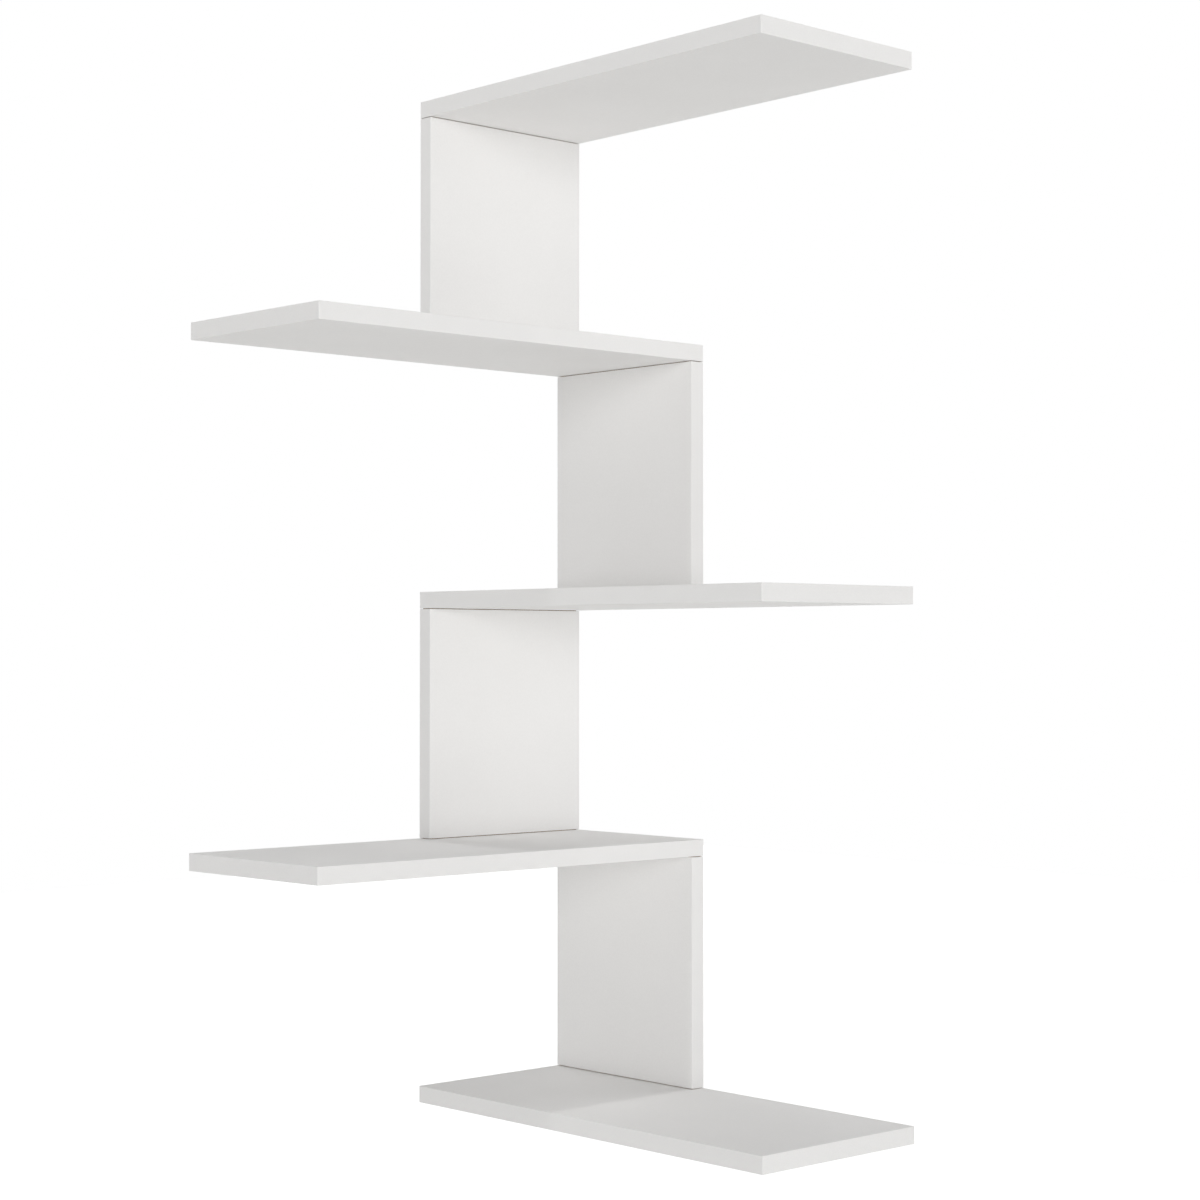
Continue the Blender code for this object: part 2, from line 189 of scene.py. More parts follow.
class WALLSHELF_PG_fittings(bpy.types.PropertyGroup):
    """Sizes of the cams, bolts, dowels, keyhole plates and their screws."""

    gap: length("Fit", "Room round a fitting in its bore", 0.0003)
    cam_radius: length("Cam radius", "Radius of a cam", 0.0072)
    cam_chamfer: length("Cam chamfer", "Width of the cam's chamfer", 0.0004)
    claw_gap: length("Cam roof", "Room over the bolt's ball in the cam", 0.0004)
    cam_rise: length("Cam rise", "How far the cam draws the bolt", 0.0010)
    entry_angle: angled("Cam turn", "Angle from the locked ball to its way in", 144)
    cross_length: length("Cam cross", "Length of the cross recess in a cam", 0.0074)
    cross_width: length("Cam cross width", "Width of the cross recess in a cam", 0.0013)
    cross_depth: length("Cam cross depth", "Depth of the cross recess in a cam", 0.0026)
    arrow: length("Cam arrow", "Size of the arrow mark on a cam", 0.0022)
    arrow_depth: length("Cam arrow depth", "Depth of the arrow mark on a cam", 0.0005)
    ball: length("Bolt ball", "Radius of the bolt's ball", 0.0031)
    neck: length("Bolt neck", "Radius of the bolt's neck", 0.0016)
    shank: length("Bolt shank", "Radius of the bolt's shank", 0.0030)
    collar: length("Bolt collar", "Radius of the bolt's collar", 0.0036)
    collar_height: length("Collar height", "Height of the bolt's collar", 0.0012)
    collar_ease: length("Collar ease", "Width of the ease on the bolt's collar", 0.0002)
    core: length("Bolt core", "Radius under the bolt's thread", 0.0024)
    crest: length("Bolt crest", "Radius over the bolt's thread", 0.0030)
    pitch: length("Bolt pitch", "Rise of the bolt's thread in one turn", 0.0022)
    flute: length("Flute", "Depth of a dowel's flutes", 0.0003)
    dowel_chamfer: length("Dowel chamfer", "Width of the chamfer on a dowel's ends", 0.0012)


class WALLSHELF_PG_plates(bpy.types.PropertyGroup):
    """Sizes of the keyhole plates, their seats and their screws."""

    entry_radius: length("Keyhole entry", "Radius of the keyhole's round entry", 0.0050)
    entry_drop: length("Entry drop", "From the plate's middle down to the entry's centre", 0.0040)
    slot_radius: length("Keyhole slot", "Half the width of the keyhole's slot", 0.0025)
    slot_rise: length("Slot rise", "From the plate's middle up to the slot's last centre", 0.0070)
    head_room: length("Head room", "Room round the wall screw's head behind the plate", 0.0012)
    pocket_depth: length("Pocket", "Depth of the pocket for the wall screw's head", 0.0120)
    edge: length("Plate edge", "Width of the ease on the plate's edges", 0.00015)
    screw_spread: length("Screw spread", "From the plate's middle to each of its screws", 0.0170)
    screw_hole: length("Screw hole", "Radius of the plate's screw holes", 0.0018)
    sink_radius: length("Countersink", "Radius of the countersink's mouth", 0.0036)
    sink_depth: length("Countersink depth", "Depth of the countersink", 0.0014)
    pilot_radius: length("Pilot", "Radius of the screws' pilot holes", 0.0012)
    pilot_depth: length("Pilot depth", "Depth of the screws' pilot holes in the board", 0.0070)
    screw_head: length("Screw head", "Radius of the plate screws' heads", 0.0034)
    screw_sink: length("Screw sink", "How far a screw's head lies under the plate's face", 0.0004)
    screw_crown: length("Screw crown", "Width of the ease on the plate screws' heads", 0.00015)
    screw_core: length("Screw core", "Radius under the plate screws' thread", 0.0011)
    screw_crest: length("Screw crest", "Radius over the plate screws' thread", 0.0016)
    screw_pitch: length("Screw pitch", "Rise of the plate screws' thread in one turn", 0.0014)


class WALLSHELF_PG_finishes(bpy.types.PropertyGroup):
    """Colours and roughness of every finish."""

    white: colour("Melamine", "Colour of the melamine faces", (0.888, 0.880, 0.870))
    band_white: colour("Edge band", "Colour of the edge bands", (0.888, 0.880, 0.870))
    white_roughness: share("Melamine roughness", "Roughness of the melamine faces", 0.65)
    band_roughness: share("Band roughness", "Roughness of the edge bands", 0.60)
    white_shine: share("White shine", "Specular level of the melamine and the edge bands", 0.30)
    chip_pale: colour("Pale chips", "Colour of the chipboard's pale chips", (0.60, 0.44, 0.27))
    chip_dark: colour("Dark chips", "Colour of the chipboard's dark chips", (0.30, 0.18, 0.09))
    zinc: colour("Cast zinc", "Colour of the cams", (0.45, 0.45, 0.46))
    zinc_roughness: share("Zinc roughness", "Roughness of the cams", 0.42)
    steel: colour("Plated steel", "Colour of the plates, bolts and screws", (0.37, 0.375, 0.385))
    steel_roughness: share("Steel roughness", "Roughness of the plates, bolts and screws", 0.30)
    beech: colour("Beech", "Colour of the dowels", (0.62, 0.42, 0.24))
    beech_dark: colour("Beech grain", "Colour of the dowels' grain", (0.42, 0.25, 0.12))
    floor: colour("Floor", "Colour of the floor", (0.80, 0.80, 0.79))


class WALLSHELF_PG_studio(bpy.types.PropertyGroup):
    """Camera, light and floor."""

    lens: FloatProperty(name="Lens", description="Focal length on a 36 mm frame", default=74.82,
                        unit="CAMERA")
    eye: FloatVectorProperty(name="Eye", description="Place of the camera", size=3, unit="LENGTH",
                             default=(2.148334, -1.927983, 0.491821))
    tilt: angled("Tilt", "Camera's angle above the level", 1.202)
    turn: angled("Turn", "Camera's angle round from facing the right wall", 47.380)
    surround: FloatProperty(name="Surround", description="Strength of the light from all round",
                            default=0.326)
    floor_drop: length("Floor", "Height of the lowest shelf above the floor", 1.0)
    floor_width: length("Floor width", "Width of the floor", 24.0)
    floor_glow: FloatProperty(name="Floor glow", description="White that the camera sees on the floor",
                              default=0.64)


def settings():
    return bpy.context.scene.wall_shelf


# Selecting, and opening a piece for an edit

def deselect():
    """Leaves edit mode with nothing selected."""
    if bpy.context.object and bpy.context.object.mode != "OBJECT":
        bpy.ops.object.mode_set(mode="OBJECT")
    bpy.ops.object.select_all(action="DESELECT")


def choose(piece):
    """Makes a piece the only selected one, and the active one."""
    deselect()
    piece.select_set(True)
    bpy.context.view_layer.objects.active = piece


def pick(piece, kind, wanted):
    """Opens a piece in edit mode with those vertices, edges or faces selected that pass a test."""
    choose(piece)
    bpy.ops.object.mode_set(mode="EDIT")
    bpy.ops.mesh.select_mode(type=kind)
    bpy.ops.mesh.select_all(action="DESELECT")
    shape = bmesh.from_edit_mesh(piece.data)
    parts = {"VERT": shape.verts, "EDGE": shape.edges, "FACE": shape.faces}[kind]
    for part in [part for part in parts if wanted(part)]:
        part.select_set(True)
    shape.select_flush_mode()
    bmesh.update_edit_mesh(piece.data)


def open_whole(piece):
    """Opens a piece in edit mode with all of it selected."""
    choose(piece)
    bpy.ops.object.mode_set(mode="EDIT")
    bpy.ops.mesh.select_all(action="SELECT")


def leave_edit():
    bpy.ops.object.mode_set(mode="OBJECT")


def leave_outward():
    """Turns every face outwards and leaves edit mode."""
    bpy.ops.mesh.select_all(action="SELECT")
    bpy.ops.mesh.normals_make_consistent(inside=False)
    leave_edit()


def on_plane(edge, *planes):
    """Tells whether an edge lies in one of some planes, each an axis and a place on it."""
    return any(all(abs(corner.co[axis] - value) < NEAR for corner in edge.verts)
               for axis, value in planes)


# Shaping

def at(*place):
    """A move to a place."""
    return Matrix.Translation(place)


def spin(angle, axis="Z"):
    return Matrix.Rotation(angle, 4, axis)


def drawn_up(rise):
    """Extrudes what is selected along Z."""
    bpy.ops.mesh.extrude_region_move(TRANSFORM_OT_translate={"value": (0, 0, rise)})


def settled(name):
    """Names the primitive that was just added and puts its place into its mesh."""
    made = bpy.context.object
    made.name = made.data.name = name
    bpy.ops.object.transform_apply(location=True, rotation=True, scale=True)
    return made


def block(name, low, high):
    """A box between two corners."""
    deselect()
    low, high = Vector(low), Vector(high)
    bpy.ops.mesh.primitive_cube_add(size=1, location=(low + high) / 2, scale=high - low)
    return settled(name)


def turned(name, profile, sides, phase=0):
    """A closed round piece about Z, drawn up from a disc through heights and radii."""
    deselect()
    (height, radius), *rest = profile
    bpy.ops.mesh.primitive_circle_add(vertices=sides, radius=radius, fill_type="NGON",
                                      location=(0, 0, height), rotation=(0, 0, phase))
    made = settled(name)
    open_whole(made)
    for next_height, next_radius in rest:
        drawn_up(next_height - height)
        grow = next_radius / radius
        bpy.ops.transform.resize(value=(grow, grow, 1), center_override=(0, 0, 0))
        height, radius = next_height, next_radius
    leave_outward()
    return made


def drum(name, radius, low, high, sides):
    """A plain drum about Z, as a cutter."""
    return turned(name, ((low, radius), (high, radius)), sides, HALF_TURN / sides)


def prism(name, outline, low, high):
    """A disc with a corner for each point of an outline, drawn to it and extruded along Z."""
    deselect()
    bpy.ops.mesh.primitive_circle_add(vertices=len(outline), radius=high - low, fill_type="NGON")
    made = settled(name)
    for corner, (x, y) in zip(made.data.vertices, outline):
        corner.co = (x, y, low)
    open_whole(made)
    drawn_up(high - low)
    leave_outward()
    return made


def slot_block(name, radius, first, last, low, high, sides):
    """A drum about Z that is drawn out along Y from one centre to another."""
    made = drum(name, radius, low, high, sides)
    pick(made, "VERT", lambda corner: corner.co.y > 0)
    bpy.ops.transform.translate(value=(0, last - first, 0))
    leave_edit()
    return moved(made, at(0, first, 0))


def moved(piece, place):
    """Puts a piece's mesh somewhere else and leaves its object at the origin."""
    piece.data.transform(place)
    piece.data.update()
    return piece


def copied(piece, name, place):
    """A copy with its own mesh, at a place."""
    choose(piece)
    bpy.ops.object.duplicate(linked=False)
    made = bpy.context.object
    made.name = made.data.name = name
    return moved(made, place)


def removed(piece):
    mesh = piece.data
    bpy.data.objects.remove(piece)
    bpy.data.meshes.remove(mesh)


def apply(piece, modifier):
    choose(piece)
    bpy.ops.object.modifier_apply(modifier=modifier.name)


def combined(piece, tools, operation="DIFFERENCE"):
    """Cuts the tools out of a piece, or joins them to it, and clears them away."""
    for tool in tools:
        step = piece.modifiers.new("combine", "BOOLEAN")
        step.operation = operation
        step.solver = "EXACT"
        step.object = tool
        apply(piece, step)
        removed(tool)
    open_whole(piece)
    bpy.ops.mesh.remove_doubles(threshold=MERGE)
    bpy.ops.mesh.dissolve_degenerate(threshold=MERGE)
    leave_edit()
    return piece


def joined(pieces):
    """Pieces that don't touch, made one object so that they cut in one go."""
    choose(pieces[0])
    for piece in pieces:
        piece.select_set(True)
    bpy.ops.object.join()
    return bpy.context.object


def eased(piece, wanted, width, steps):
    """Bevels the edges that pass a test."""
    pick(piece, "EDGE", wanted)
    bpy.ops.mesh.bevel(offset_type="OFFSET", offset=width, segments=steps, affect="EDGES")
    leave_edit()


def smoothed(piece, angle=SHARP):
    """Shades round stretches smooth and keeps the large faces flat."""
    choose(piece)
    bpy.ops.object.shade_smooth_by_angle(angle=angle)
    level = piece.modifiers.new("level", "WEIGHTED_NORMAL")
    level.keep_sharp = True
    apply(piece, level)
    return piece


def finished(piece, look, slot, *nodes):
    """Gives a piece its finish, hides the parts that it stands for, and rides it on the frame; the slot
    is not used.
    """
    if look:
        piece.data.materials.clear()
        piece.data.materials.append(look)
    if nodes:
        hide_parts(*nodes)
    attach(piece, BODY)
    return piece


# Places, read from the frame

def wall_of(board):
    """The wall that a shelf or an upright lies along."""
    size = box_size(board)
    return RIGHT if size.x > size.y else LEFT


def upright_place(number):
    """An upright's frame: X runs along its foot, Y comes off the wall and Z is up."""
    name = f"upright_{number}"
    low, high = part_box(name)
    if wall_of(name) == LEFT:
        return at(low.x, high.y, low.z) @ spin(-HALF_TURN / 2)
    return at(high.x, high.y, low.z) @ spin(HALF_TURN)


def middle(name):
    low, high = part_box(name)
    return (low + high) / 2


def in_wall(number, name):
    """A fitting's frame in its upright's: Z comes out of the wall face at its outer side, Y is up."""
    to_upright = upright_place(number).inverted()
    low, high = (to_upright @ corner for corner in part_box(name))
    centre = (low + high) / 2
    outer = min(low.y, high.y)
    return at(centre.x, outer, centre.z) @ spin(HALF_TURN / 2, "X")


def along_joint(name, end, into_shelf):
    """A frame on a bolt or a dowel: its origin is on the shelf's face and Z points into the upright."""
    low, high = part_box(name)
    centre = middle(name)
    if end == FOOT:
        return at(centre.x, centre.y, low.z + into_shelf)
    return at(centre.x, centre.y, high.z - into_shelf) @ spin(HALF_TURN, "X")


def seat_gap():
    """Room between a shelf and the upright that stands on it."""
    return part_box("upright_4")[0].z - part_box("shelf_5")[1].z


def depth_in_shelf(name):
    """How deep a fitting at the foot of the lowest upright goes into the shelf."""
    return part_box("shelf_5")[1].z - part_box(name)[0].z


# Node trees

def node(tree, kind, inputs=None, **values):
    """Adds a shader node, sets its values, and sets or links its inputs."""
    made = tree.nodes.new(kind)
    for key, value in values.items():
        setattr(made, key, value)
    for key, value in (inputs or {}).items():
        if isinstance(value, bpy.types.NodeSocket):
            tree.links.new(value, made.inputs[key])
        else:
            made.inputs[key].default_value = value
    return made


def group_tree(name, inputs, outputs):
    """A shader node group with its own sockets, and its input and output nodes."""
    tree = bpy.data.node_groups.new(name, "ShaderNodeTree")
    for title, kind, default in inputs:
        socket = tree.interface.new_socket(title, in_out="INPUT", socket_type=kind)
        if default is not None:
            socket.default_value = default
    for title, kind in outputs:
        tree.interface.new_socket(title, in_out="OUTPUT", socket_type=kind)
    return tree, tree.nodes.new("NodeGroupInput"), tree.nodes.new("NodeGroupOutput")


def noise(tree, place, scale, detail=2.0, roughness=0.5):
    inputs = {"Vector": place, "Scale": scale, "Detail": detail, "Roughness": roughness}
    return node(tree, "ShaderNodeTexNoise", inputs).outputs["Fac"]


def ranged(tree, value, low, high, to_low=0.0, to_high=1.0):
    """Maps a value's range onto another, clamped."""
    inputs = {"Value": value, "From Min": low, "From Max": high, "To Min": to_low, "To Max": to_high}
    return node(tree, "ShaderNodeMapRange", inputs).outputs["Result"]


def calculated(tree, operation, first, second):
    return node(tree, "ShaderNodeMath", {0: first, 1: second}, operation=operation).outputs["Value"]


def times(tree, value, factor):
    return calculated(tree, "MULTIPLY", value, factor)


# Where a mix node takes its factor and the two values or colours that it mixes, and gives a colour
VALUE_MIX, COLOUR_MIX, MIXED_COLOUR = (0, 2, 3), (0, 6, 7), 2


def chosen_value(tree, factor, first, second):
    """Mixes two values, which may be sockets."""
    inputs = dict(zip(VALUE_MIX, (factor, first, second)))
    return node(tree, "ShaderNodeMix", inputs).outputs[0]


def stretched(tree, place, scale):
    return node(tree, "ShaderNodeMapping", {"Vector": place, "Scale": scale}).outputs["Vector"]


def mixed(tree, factor, first, second):
    """Mixes two colours, given as colours or as sockets."""
    ends = (end if isinstance(end, bpy.types.NodeSocket) else (*end, 1) for end in (first, second))
    inputs = dict(zip(COLOUR_MIX, (factor, *ends)))
    return node(tree, "ShaderNodeMix", inputs, data_type="RGBA").outputs[MIXED_COLOUR]


def darker(tint, amount):
    return tuple(channel * (1 - amount) for channel in tint)


def skin_tree(name, inputs):
    """A node group that gives a height and a tone for a place."""
    return group_tree(name, (("Place", "NodeSocketVector", None), *inputs),
                      (("Height", "NodeSocketFloat"), ("Tone", "NodeSocketFloat")))


# The flecks in the melamine: how coarse they are against the stipple, the noise that they take in,
# and their share of the tone and of the height
FLECK_SCALE, FLECK_NOISE, FLECK_TONE, FLECK_HEIGHT = 0.31, (0.34, 0.66), 0.4, 0.5


def pressed_grain():
    """The melamine's pressed surface: a fine, even stipple and faint broad clouding."""
    tree, given, made = skin_tree("Pressed grain", (
        ("Stipple", "NodeSocketFloat", 1400.0), ("Cloud", "NodeSocketFloat", 14.0)))
    place = given.outputs["Place"]
    stipple = noise(tree, place, given.outputs["Stipple"], detail=3.0, roughness=0.6)
    cloud = noise(tree, place, given.outputs["Cloud"], detail=3.0, roughness=0.55)
    flecks = noise(tree, place, times(tree, given.outputs["Stipple"], FLECK_SCALE), detail=1.0)
    fleck = ranged(tree, flecks, *FLECK_NOISE)
    tone = calculated(tree, "ADD", times(tree, cloud, 1 - FLECK_TONE), times(tree, fleck, FLECK_TONE))
    height = calculated(tree, "ADD", stipple, times(tree, fleck, FLECK_HEIGHT))
    tree.links.new(height, made.inputs["Height"])
    tree.links.new(tone, made.inputs["Tone"])


# Scratches in metal: how they are stretched, the noise that they take in, and how much darker and
# deeper they are
SCRATCH_STRETCH, SCRATCH_NOISE, SCRATCH_TONE, SCRATCH_HEIGHT = (1.0, 9.0, 9.0), (0.60, 0.74), 0.25, 0.6


def cast_mottle():
    """Metal's uneven skin: soft mottling, fine grain and short scratches."""
    tree, given, made = skin_tree("Metal mottle", (
        ("Mottle", "NodeSocketFloat", 350.0), ("Grain", "NodeSocketFloat", 4000.0)))
    place = given.outputs["Place"]
    soft = noise(tree, place, given.outputs["Mottle"], detail=3.0, roughness=0.55)
    grain = noise(tree, place, given.outputs["Grain"], roughness=0.6)
    scratches = noise(tree, stretched(tree, place, SCRATCH_STRETCH), given.outputs["Mottle"],
                      roughness=0.7)
    scratch = ranged(tree, scratches, *SCRATCH_NOISE)
    tone = calculated(tree, "SUBTRACT", soft, times(tree, scratch, SCRATCH_TONE))
    height = calculated(tree, "SUBTRACT", grain, times(tree, scratch, SCRATCH_HEIGHT))
    tree.links.new(height, made.inputs["Height"])
    tree.links.new(tone, made.inputs["Tone"])


def grouped(tree, name, inputs):
    return node(tree, "ShaderNodeGroup", inputs, node_tree=bpy.data.node_groups[name])


def material(name, roughness, metallic=0.0):
    """An empty finish: its tree, its shader and the object's own coordinates."""
    made = bpy.data.materials.new(name)
    made.use_nodes = True
    tree = made.node_tree
    shader = tree.nodes["Principled BSDF"]
    shader.inputs["Roughness"].default_value = roughness
    shader.inputs["Metallic"].default_value = metallic
    return tree, shader, tree.nodes.new("ShaderNodeTexCoord").outputs["Object"]


def toned(tree, shader, tone, dark, pale, dull, bright):
    """Runs the colour from dark to pale, and the roughness from dull to bright, with a tone."""
    tree.links.new(mixed(tree, tone, dark, pale), shader.inputs["Base Color"])
    tree.links.new(ranged(tree, tone, 0.0, 1.0, dull, bright), shader.inputs["Roughness"])


def bumped(tree, shader, height, strength, distance):
    bump = node(tree, "ShaderNodeBump", {"Height": height, "Strength": strength, "Distance": distance})
    tree.links.new(bump.outputs["Normal"], shader.inputs["Normal"])


# White decor: the tone that it spreads out, how much darker it gets, how much its roughness varies,
# and the height of its bumps
DECOR_TONE, DECOR_SHADE, DECOR_VARIES, DECOR_BUMP = (0.3, 0.7), 0.018, 0.04, 0.0001


def pressed_finish(name, tint, roughness, shine, grain, cloud, strength):
    """White decor, pressed with the fine grain."""
    tree, shader, place = material(name, roughness)
    shader.inputs["Specular IOR Level"].default_value = shine
    skin = grouped(tree, "Pressed grain", {"Place": place, "Stipple": grain, "Cloud": cloud})
    toned(tree, shader, ranged(tree, skin.outputs["Tone"], *DECOR_TONE), darker(tint, DECOR_SHADE), tint,
          roughness + DECOR_VARIES, roughness - DECOR_VARIES)
    bumped(tree, shader, skin.outputs["Height"], strength, DECOR_BUMP)


# Chipboard: the stretch and the number to a metre of its lower, upper and small chips, and how far
# and how finely they wander
LOWER_CHIPS, UPPER_CHIPS = ((0.45, 1.2, 3.4), 360.0), ((1.2, 0.45, 4.0), 310.0)
SMALL_CHIPS = ((1.0, 1.0, 2.4), 1150.0)
CHIP_WANDER, CHIP_WANDER_SCALE = 0.0012, 260.0

# Where the small chips begin, in shares of the board from its middle, and the share of the lower chips
OUTER_SHARES = (0.28, 0.36)
LOWER_SHARE = 0.52

# Gaps between chips: their noise, their widths, and how dark they are in the middle and outside
GAP_NOISE_SCALE, GAP_NOISE, GAP_WIDTHS, GAP_DARKNESS = 420.0, (0.47, 0.64), (0.002, 0.34), (0.85, 0.30)
GAP_SHADE = 0.72

# Fibres in the chips: their stretch, their number, their noise, and how much they darken
FIBRE_STRETCH, FIBRE_SCALE, FIBRE_NOISE, FIBRE_SHARE = (0.10, 0.10, 1.0), 5200.0, (0.35, 0.70), 0.30
FIBRE_SHADE = 0.15

# The chips' tones from dark to pale, the height of chips and fibres, the roughness and the bumps
CHIP_TONES, CHIP_HEIGHT, FIBRE_HEIGHT = (0.02, 0.75), 0.5, 0.12
CHIP_ROUGHNESS, CHIP_BUMP_STRENGTH, CHIP_BUMP = 0.85, 0.8, 0.0004


def chips(tree, place, stretch, scale):
    """Angular chips, each with a random colour, and how far a place is from the next chip."""
    laid = stretched(tree, place, stretch)
    first, second = (node(tree, "ShaderNodeTexVoronoi", {"Vector": laid, "Scale": scale},
                          feature=feature, distance="MANHATTAN") for feature in ("F1", "F2"))
    edge = calculated(tree, "SUBTRACT", second.outputs["Distance"], first.outputs["Distance"])
    return node(tree, "ShaderNodeSeparateColor", {"Color": first.outputs["Color"]}).outputs, edge


def chipboard_finish(pale, dark):
    """Chipboard: long chips on top of each other in the middle, and fine ones towards the faces."""
    tree, shader, _ = material("chipboard", CHIP_ROUGHNESS)
    place = node(tree, "ShaderNodeAttribute", attribute_name="board_place").outputs["Vector"]
    wander = node(tree, "ShaderNodeTexNoise", {"Vector": place, "Scale": CHIP_WANDER_SCALE})
    shift = node(tree, "ShaderNodeVectorMath", {0: wander.outputs["Color"], 3: CHIP_WANDER},
                 operation="SCALE").outputs[0]
    bent = node(tree, "ShaderNodeVectorMath", {0: place, 1: shift}, operation="ADD").outputs[0]
    lower, lower_edge = chips(tree, bent, *LOWER_CHIPS)
    upper, upper_edge = chips(tree, bent, *UPPER_CHIPS)
    small, small_edge = chips(tree, bent, *SMALL_CHIPS)
    on_top = calculated(tree, "GREATER_THAN", upper["Green"], LOWER_SHARE)
    across = node(tree, "ShaderNodeSeparateXYZ", {"Vector": bent}).outputs["Z"]
    from_middle = calculated(tree, "ABSOLUTE", calculated(tree, "SUBTRACT", across, BOARD / 2), 0.0)
    outer = ranged(tree, from_middle, *(BOARD * share for share in OUTER_SHARES))
    inner = chosen_value(tree, on_top, lower["Red"], upper["Red"])
    tone = chosen_value(tree, outer, inner, small["Red"])
    inner_edge = chosen_value(tree, on_top, lower_edge, upper_edge)
    edge = chosen_value(tree, outer, inner_edge, small_edge)
    width = ranged(tree, noise(tree, place, GAP_NOISE_SCALE), *GAP_NOISE, *GAP_WIDTHS)
    gap = times(tree, ranged(tree, edge, 0.0, width, 1.0, 0.0),
                ranged(tree, outer, 0.0, 1.0, *GAP_DARKNESS))
    fibres = noise(tree, stretched(tree, bent, FIBRE_STRETCH), FIBRE_SCALE, detail=3.0, roughness=0.6)
    fibre = ranged(tree, fibres, *FIBRE_NOISE)
    wood = mixed(tree, ranged(tree, tone, *CHIP_TONES), dark, pale)
    wood = mixed(tree, times(tree, fibre, FIBRE_SHARE), wood, darker(dark, FIBRE_SHADE))
    tree.links.new(mixed(tree, gap, wood, darker(dark, GAP_SHADE)), shader.inputs["Base Color"])
    height = calculated(tree, "SUBTRACT", times(tree, tone, CHIP_HEIGHT), gap)
    height = calculated(tree, "SUBTRACT", height, times(tree, fibre, FIBRE_HEIGHT))
    bumped(tree, shader, height, CHIP_BUMP_STRENGTH, CHIP_BUMP)


# Metal: the tone that it spreads out, how much duller and brighter it gets, and its bumps' height
METAL_TONE, METAL_DULLER, METAL_BRIGHTER, METAL_BUMP = (0.25, 0.7), 0.12, 0.05, 0.00005


def metal_finish(name, tint, roughness, mottle, grain, shade, strength):
    """Zinc, cast or plated."""
    tree, shader, place = material(name, roughness, metallic=1.0)
    skin = grouped(tree, "Metal mottle", {"Place": place, "Mottle": mottle, "Grain": grain})
    toned(tree, shader, ranged(tree, skin.outputs["Tone"], *METAL_TONE), darker(tint, shade), tint,
          roughness + METAL_DULLER, roughness - METAL_BRIGHTER)
    bumped(tree, shader, skin.outputs["Height"], strength, METAL_BUMP)


# Beech: the stretch and number of its grain and its flecks, the noise that they take in, how dark
# they are, the roughness, and the strength and height of its bumps
BEECH_GRAIN_STRETCH, BEECH_GRAIN_SCALE = (1.0, 1.0, 0.06), 1400.0
BEECH_FLECK_STRETCH, BEECH_FLECK_SCALE = (1.0, 1.0, 0.22), 2600.0
BEECH_GRAIN_NOISE, BEECH_GRAIN_DARKNESS = (0.45, 0.75), (0.0, 0.6)
BEECH_FLECK_NOISE, BEECH_FLECK_DARKNESS = (0.62, 0.70), 0.8
BEECH_ROUGHNESS, BEECH_BUMP_STRENGTH, BEECH_BUMP = 0.62, 0.4, 0.0001


def beech_finish(pale, dark):
    """Beech end to end: long fine grain with short dark flecks."""
    tree, shader, place = material("beech_wood", BEECH_ROUGHNESS)
    grain = noise(tree, stretched(tree, place, BEECH_GRAIN_STRETCH), BEECH_GRAIN_SCALE, detail=4.0,
                  roughness=0.6)
    flecks = noise(tree, stretched(tree, place, BEECH_FLECK_STRETCH), BEECH_FLECK_SCALE, detail=1.0)
    fleck = times(tree, ranged(tree, flecks, *BEECH_FLECK_NOISE), BEECH_FLECK_DARKNESS)
    streak = ranged(tree, grain, *BEECH_GRAIN_NOISE, *BEECH_GRAIN_DARKNESS)
    depth = calculated(tree, "MAXIMUM", streak, fleck)
    tree.links.new(mixed(tree, depth, pale, dark), shader.inputs["Base Color"])
    bumped(tree, shader, grain, BEECH_BUMP_STRENGTH, BEECH_BUMP)


def finish(name):
    return bpy.data.materials[name]


class WALLSHELF_OT_finishes(bpy.types.Operator):
    """Makes every finish, with the grains that they share"""

    bl_idname = "wall_shelf.finishes"
    bl_label = "Finishes"

    def execute(self, context):
        chosen = settings().finishes
        pressed_grain()
        cast_mottle()
        pressed_finish("white_melamine", chosen.white, chosen.white_roughness, chosen.white_shine,
                       grain=1400.0, cloud=14.0, strength=0.35)
        pressed_finish("white_band", chosen.band_white, chosen.band_roughness, chosen.white_shine,
                       grain=2200.0, cloud=30.0, strength=0.20)
        chipboard_finish(chosen.chip_pale, chosen.chip_dark)
        metal_finish("cast_zinc", chosen.zinc, chosen.zinc_roughness,
                     mottle=420.0, grain=5200.0, shade=0.30, strength=0.35)
        metal_finish("steel_plating", chosen.steel, chosen.steel_roughness,
                     mottle=260.0, grain=3000.0, shade=0.16, strength=0.15)
        beech_finish(chosen.beech, chosen.beech_dark)
        return {"FINISHED"}


# Boards

def dressed_board(board, thickness_axis, base):
    """Splits off the melamine at both faces, notes each point's place in the board, and shades it."""
    skin = settings().boards.skin
    normal = Vector((0, 0, 0))
    normal[thickness_axis] = 1
    for height in (base + skin, base + BOARD - skin):
        open_whole(board)
        bpy.ops.mesh.bisect(plane_co=normal * height, plane_no=normal)
        leave_edit()
    board.data.materials.clear()
    board.data.materials.append(finish("chipboard"))
    board.data.materials.append(finish("white_melamine"))
    for face in board.data.polygons:
        depth = face.center[thickness_axis] - base
        face.material_index = int(min(depth, BOARD - depth) < skin)
    note_places(board, thickness_axis, base)
    smoothed(board)


def note_places(board, thickness_axis, base):
    """Keeps each point's place in the board, with the way through its thickness last."""
    others = [axis for axis in (X, Y, Z) if axis != thickness_axis]
    notes = board.data.attributes.new("board_place", "FLOAT_VECTOR", "POINT")
    for note, corner in zip(notes.data, board.data.vertices):
        note.vector = (corner.co[others[0]], corner.co[others[1]], corner.co[thickness_axis] - base)


def bore(radius, span, x, y):
    """A cutter for the bore of a bolt or a dowel, along Z."""
    return moved(drum("bore", radius, *span, BORE_FACETS), at(x, y, 0))


